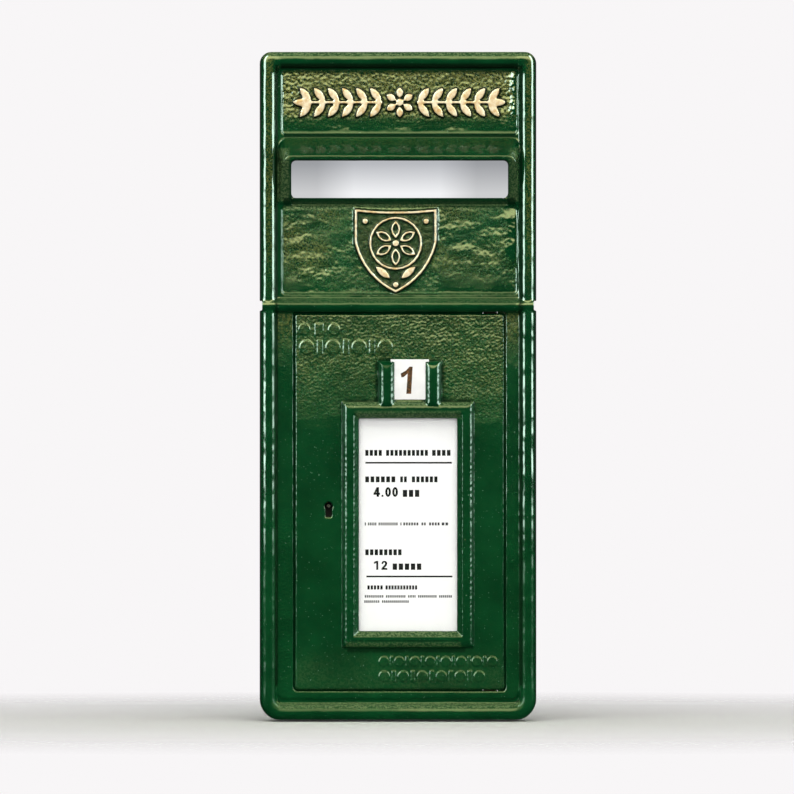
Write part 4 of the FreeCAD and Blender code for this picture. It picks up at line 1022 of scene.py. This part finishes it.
def enamel(name, gloss_blur):
    """Thick green enamel, cream paint on the raised ornament, and painted light and shade."""
    shader = Shader(name)
    where = shader.object_place()
    painted_dark = shader.attribute("painted_shade")

    def blend(share, pair):
        """A colour between a pair of them."""
        return shader.mix(share, colour(*pair[0]), colour(*pair[1]))

    green = blend(shader.clouds(where, *GREEN_CLOUDS), GREENS)
    mottle = shader.clouds(where, *MOTTLE_CLOUDS)
    # Painted warm reflection turns the green olive
    green = shader.mix(shader.attribute("painted_reflection"), green, blend(mottle, OLIVES))
    # Painted highlights turn it paler
    green = shader.mix(shader.attribute("painted_highlight"), green, blend(mottle, PAINTED_HIGHLIGHTS))
    # Painted glints: sparse pale mint flecks
    glints = shader.math("MULTIPLY", shader.clouds(where, *GLINT_CLOUDS), GLINT_SHARE)
    green = shader.mix(glints, green, colour(*GLINT_COLOUR))
    # Painted shade turns the green near black in hollows and recesses
    green = shader.mix(shader.math("MULTIPLY", painted_dark, PAINTED_SHADE_SHARE), green, colour(*PAINTED_SHADE_COLOUR))
    parts = shader.add("ShaderNodeSeparateXYZ", None, Vector=where)
    height = shader.math("MULTIPLY", parts.outputs["Y"], -1 / MM)
    above = shader.math("SUBTRACT", height, shader.attribute("cream_from"))
    # Painted shadow: a near-black ring round the cream relief and at its foot
    foot = shader.math("MULTIPLY", shader.between(above, *CREAM_FOOT_MM), CREAM_FOOT_SHARE)
    close = shader.math("MULTIPLY", shader.attribute("relief_shadow"), RELIEF_SHADOW_SHARE)
    edge = shader.math("MAXIMUM", foot, close)
    outlined = shader.mix(edge, green, colour(*RELIEF_SHADOW_COLOUR))
    aged = blend(shader.clouds(where, *CREAM_CLOUDS), CREAMS)
    grain = shader.noise(where, *GRAIN_NOISE)
    grained = shader.bump(grain, shader.attribute("grain"), GRAIN_BUMP)
    unshaded = shader.math("SUBTRACT", 1.0, painted_dark, True)
    shader.set(
        Base_Color=shader.mix(shader.between(above, *CREAM_EDGE_MM), outlined, aged),
        Normal=shader.bump(shader.noise(where, *SKIN_NOISE), *SKIN_BUMP, grained),
        Roughness=shader.between(painted_dark, 0.0, 1.0, *PAINT_ROUGHNESS),
        Coat_Weight=shader.math("MULTIPLY", shader.attribute("sheen"), unshaded),
        Specular_IOR_Level=PAINT_SPECULAR,
        IOR=PAINT_IOR,
        Coat_Roughness=gloss_blur,
        Coat_IOR=COAT_IOR,
    )
    return shader.material


def plain(name, tint, roughness, metallic=0.0, scale=400.0, depth=0.00008, shade=0.82, **more):
    """A painted, plated, printed or rubber finish with a fine skin."""
    shader = Shader(name)
    where = shader.object_place()
    base = colour(*tint)
    darker = (*(part * shade for part in base[:3]), 1.0)
    tone = shader.clouds(where, scale * TONE_SCALE, *TONE_CLOUDS)
    skin = shader.noise(where, scale, *TONE_CLOUDS[:2])
    shader.set(
        Base_Color=shader.mix(tone, darker, base),
        Normal=shader.bump(skin, FINISH_BUMP, depth),
        Roughness=roughness,
        Metallic=metallic,
        **more,
    )
    return shader.material


def clad(piece, *materials):
    """Give a piece its materials."""
    piece.data.materials.clear()
    for material in materials:
        piece.data.materials.append(material)


def enamelled(piece, glossy, blurred):
    """Give a casting its two enamels, the blurred one where the casting is rough."""
    clad(piece, glossy, blurred)
    mesh = piece.data
    grain = np.zeros(len(mesh.vertices))
    mesh.attributes["grain"].data.foreach_get("value", grain)
    corners, starts = face_corners(mesh)
    rough = grain[corners[starts]] > BLURRED_ABOVE_GRAIN
    mesh.polygons.foreach_set("material_index", rough.astype(np.int32))


def plate(name, outlines, heights_mm):
    """Thin flat shapes drawn as (x, z) outlines in millimetres, from one height to another."""
    made = bmesh.new()
    for outline in outlines:
        back, front = (
            [made.verts.new((x * MM, -height * MM, z * MM)) for x, z in outline]
            for height in heights_mm
        )
        made.faces.new(back)
        made.faces.new(front)
        for corner in range(len(outline)):
            side = (back[corner - 1], back[corner], front[corner], front[corner - 1])
            made.faces.new(side)
    bmesh.ops.recalc_face_normals(made, faces=made.faces)
    mesh = bpy.data.meshes.new(name)
    made.to_mesh(mesh)
    made.free()
    piece = bpy.data.objects.new(name, mesh)
    scene.collection.objects.link(piece)
    return piece


def printed(across, down):
    """A place of the photo, given in its pixels, as x and z in millimetres."""
    x = (across - OBJECT_CENTRE_PX[0]) * MM_PER_PX
    return x, (OBJECT_CENTRE_PX[1] - down) * MM_PER_PX


def block(left, right, top, foot):
    """A rectangle between these pixels."""
    x0, z1 = printed(left, top)
    x1, z0 = printed(right, foot)
    return [(x0, z0), (x1, z0), (x1, z1), (x0, z1)]


def marks(words, share):
    """Rows of plain upright marks, as wide together as words, and this share of their pitch."""
    rows = []
    for left, right, top, foot, count in words:
        pitch = (right - left) / count
        for number in range(count):
            start = left + pitch * number
            rows.append(block(start, start + pitch * share, top, foot))
    return rows


def numeral(shape, left, top, wide, tall):
    """One outline of a plain numeral."""
    return [printed(left + across * wide, top + down * tall) for across, down in shape]


def zero(left):
    """A plain oval zero, in two halves."""
    half_wide, half_tall = (size / 2 for size in ZERO_SIZE_PX)
    halves = []
    for side in (-1, 1):
        half = []
        for inset, order in ((0.0, 1), (ZERO_STROKE_PX, -1)):
            for step in range(ZERO_STEPS + 1)[::order]:
                turn = math.pi * step / ZERO_STEPS
                across = side * math.sin(turn) * (half_wide - inset)
                down = -math.cos(turn) * (half_tall - inset)
                half.append(printed(left + half_wide + across, ZERO_TOP_PX + half_tall + down))
        halves.append(half)
    return halves


def lamp(name, place, wide, tall, watts, tint):
    """A soft studio light that points at the middle, and isn't mirrored in the gloss."""
    data = bpy.data.lights.new(name, "AREA")
    data.shape = "RECTANGLE"
    data.size = wide
    data.size_y = tall
    data.energy = watts
    data.color = tint
    light = bpy.data.objects.new(name, data)
    scene.collection.objects.link(light)
    light.location = place
    light.rotation_euler = (-Vector(place)).to_track_quat("-Z", "Y").to_euler()
    light.visible_camera = False
    light.visible_glossy = False


# The camera, square in front of the casting
camera_data = bpy.data.cameras.new("camera")
camera_data.sensor_width = SENSOR_MM
camera_data.lens = SENSOR_MM * CAMERA_DISTANCE / (PICTURE_PX * MM_PER_PX * MM)
camera = bpy.data.objects.new("camera", camera_data)
scene.collection.objects.link(camera)
middle_x, middle_z = printed(PICTURE_PX / 2, PICTURE_PX / 2)
camera.location = (middle_x * MM, -CAMERA_DISTANCE, middle_z * MM)
camera.rotation_euler = (math.radians(90), 0, 0)
scene.camera = camera

# Dressed castings
smooth_enamel = enamel("green_enamel", GLOSS_BLUR)
rough_enamel = enamel("rough_enamel", ROUGH_GLOSS_BLUR)
front = dressed_front()
enamelled(front, smooth_enamel, rough_enamel)
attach(front, "front")
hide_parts("front_casting")
door = dressed_door()
enamelled(door, smooth_enamel, rough_enamel)
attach(door, "door")
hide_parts("door_casting")

# Plain CAD pieces
finishes = {name: plain(name, **settings) for name, settings in FINISHES.items()}
for name, finish in WORN.items():
    clad(nodes[name], finishes[finish])
window = Shader("window_clear")
window.set(Base_Color=colour(*WINDOW_TINT), Roughness=0.03, Alpha=0.04, IOR=1.5)
clad(nodes["notice_window"], window.material)

# The card, its print as plain marks, rules and numerals
card = plate("printed_card", [CARD_OUTLINE_MM], CARD_H_MM)
clad(card, finishes["card_paper"])
bold = marks(BOLD_WORDS_PX, BOLD_MARK_SHARE) + [block(*rule) for rule in RULES_PX]
for shapes, *place in NUMERALS_PX:
    bold += [numeral(shape, *place) for shape in shapes]
for left_px in ZEROS_PX:
    bold += zero(left_px)
print_bold = plate("print_bold", bold, INK_H_MM)
clad(print_bold, finishes["print_ink"])
print_faint = plate("print_faint", marks(FAINT_WORDS_PX, FAINT_MARK_SHARE), INK_H_MM)
clad(print_faint, finishes["print_faint_ink"])
for piece in (card, print_bold, print_faint):
    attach(piece, "door")
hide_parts("notice_card")

# The numeral on the tablet
number_paint = Shader("number_paint")
number_tone = number_paint.clouds(number_paint.object_place(), *NUMBER_CLOUDS)
number_tints = [colour(*tint) for tint in NUMBER_TINTS]
number_paint.set(Base_Color=number_paint.mix(number_tone, *number_tints), Roughness=0.35)
number_outline = [printed(*corner) for corner in TABLET_NUMERAL_PX]
tablet_number = plate("tablet_number", [number_outline], NUMBER_H_MM)
clad(tablet_number, number_paint.material)
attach(tablet_number, "door")

# The floor, which fades out with the distance from its middle
floor_data = bpy.data.meshes.new("floor")
disc = bmesh.new()
bmesh.ops.create_circle(disc, cap_ends=True, segments=FLOOR_SIDES, radius=FLOOR_RADIUS)
disc.to_mesh(floor_data)
disc.free()
floor = bpy.data.objects.new("floor", floor_data)
scene.collection.objects.link(floor)
floor.location = (0, 0, FLOOR_Z_MM * MM)
floor.visible_glossy = False
ground = Shader("floor_white")
stretched = ground.add(
    "ShaderNodeVectorMath", {"operation": "MULTIPLY"}, i0=ground.object_place(), i1=FLOOR_STRETCH
)
length = ground.add("ShaderNodeVectorMath", {"operation": "LENGTH"}, i0=stretched.outputs[0])
ground.set(Base_Color=colour(*FLOOR_TINT), Roughness=FLOOR_ROUGHNESS)
fade = ground.between(length.outputs["Value"], *FLOOR_FADE)
clear = ground.add("ShaderNodeBsdfTransparent").outputs[0]
both = ground.add("ShaderNodeMixShader", None, i0=fade, i1=ground.surface.outputs[0], i2=clear)
ground.tree.links.new(both.outputs[0], ground.tree.nodes["Material Output"].inputs["Surface"])
clad(floor, ground.material)

# The studio: what the gloss picks up, what lights everything else and what the camera sees
sky = Sky("studio")
scene.world = sky.world
sides = sky.math("ADD", sky.pane(*LEFT_PANE), sky.pane(*RIGHT_PANE))
rear = sky.between(sky.math("ABSOLUTE", sky.turn), *REAR_TURNS)
gloss = sky.glow(sky.pane(*WARM_PANE), WARM, WARM_STRENGTH)
gloss = sky.plus(gloss, sky.glow(sides, COOL, COOL_STRENGTH))
gloss = sky.plus(gloss, sky.glow(rear, WHITE, REAR_STRENGTH))
gloss = sky.plus(gloss, sky.light(DIM, DIM_STRENGTH))
fill = sky.light(WHITE, FILL_STRENGTH)
shade = sky.mix(sky.between(sky.rise, *SHADE_RISE), colour(*SHADE_TOP), colour(*SHADE_FOOT))
corners = sky.math("MULTIPLY", sky.between(sky.across, *SHADE_ENDS), SHADE_CORNER_SHARE)
shade = sky.mix(corners, shade, colour(*SHADE_CORNER))
slot = sky.math(
    "MULTIPLY", sky.between(sky.across, *SLOT_ACROSS, 1.0, 0.0), sky.span(sky.rise, *SLOT_RISE)
)
backdrop = sky.light(sky.mix(slot, colour(*BACKDROP), shade), 1.0)
rays = sky.add("ShaderNodeLightPath")
unseen = sky.choose(rays.outputs["Is Glossy Ray"], fill, gloss)
everything = sky.choose(rays.outputs["Is Camera Ray"], unseen, backdrop)
sky.add("ShaderNodeOutputWorld", None, Surface=everything)
for settings in LAMPS:
    lamp(*settings)

scene.view_settings.view_transform = "Standard"
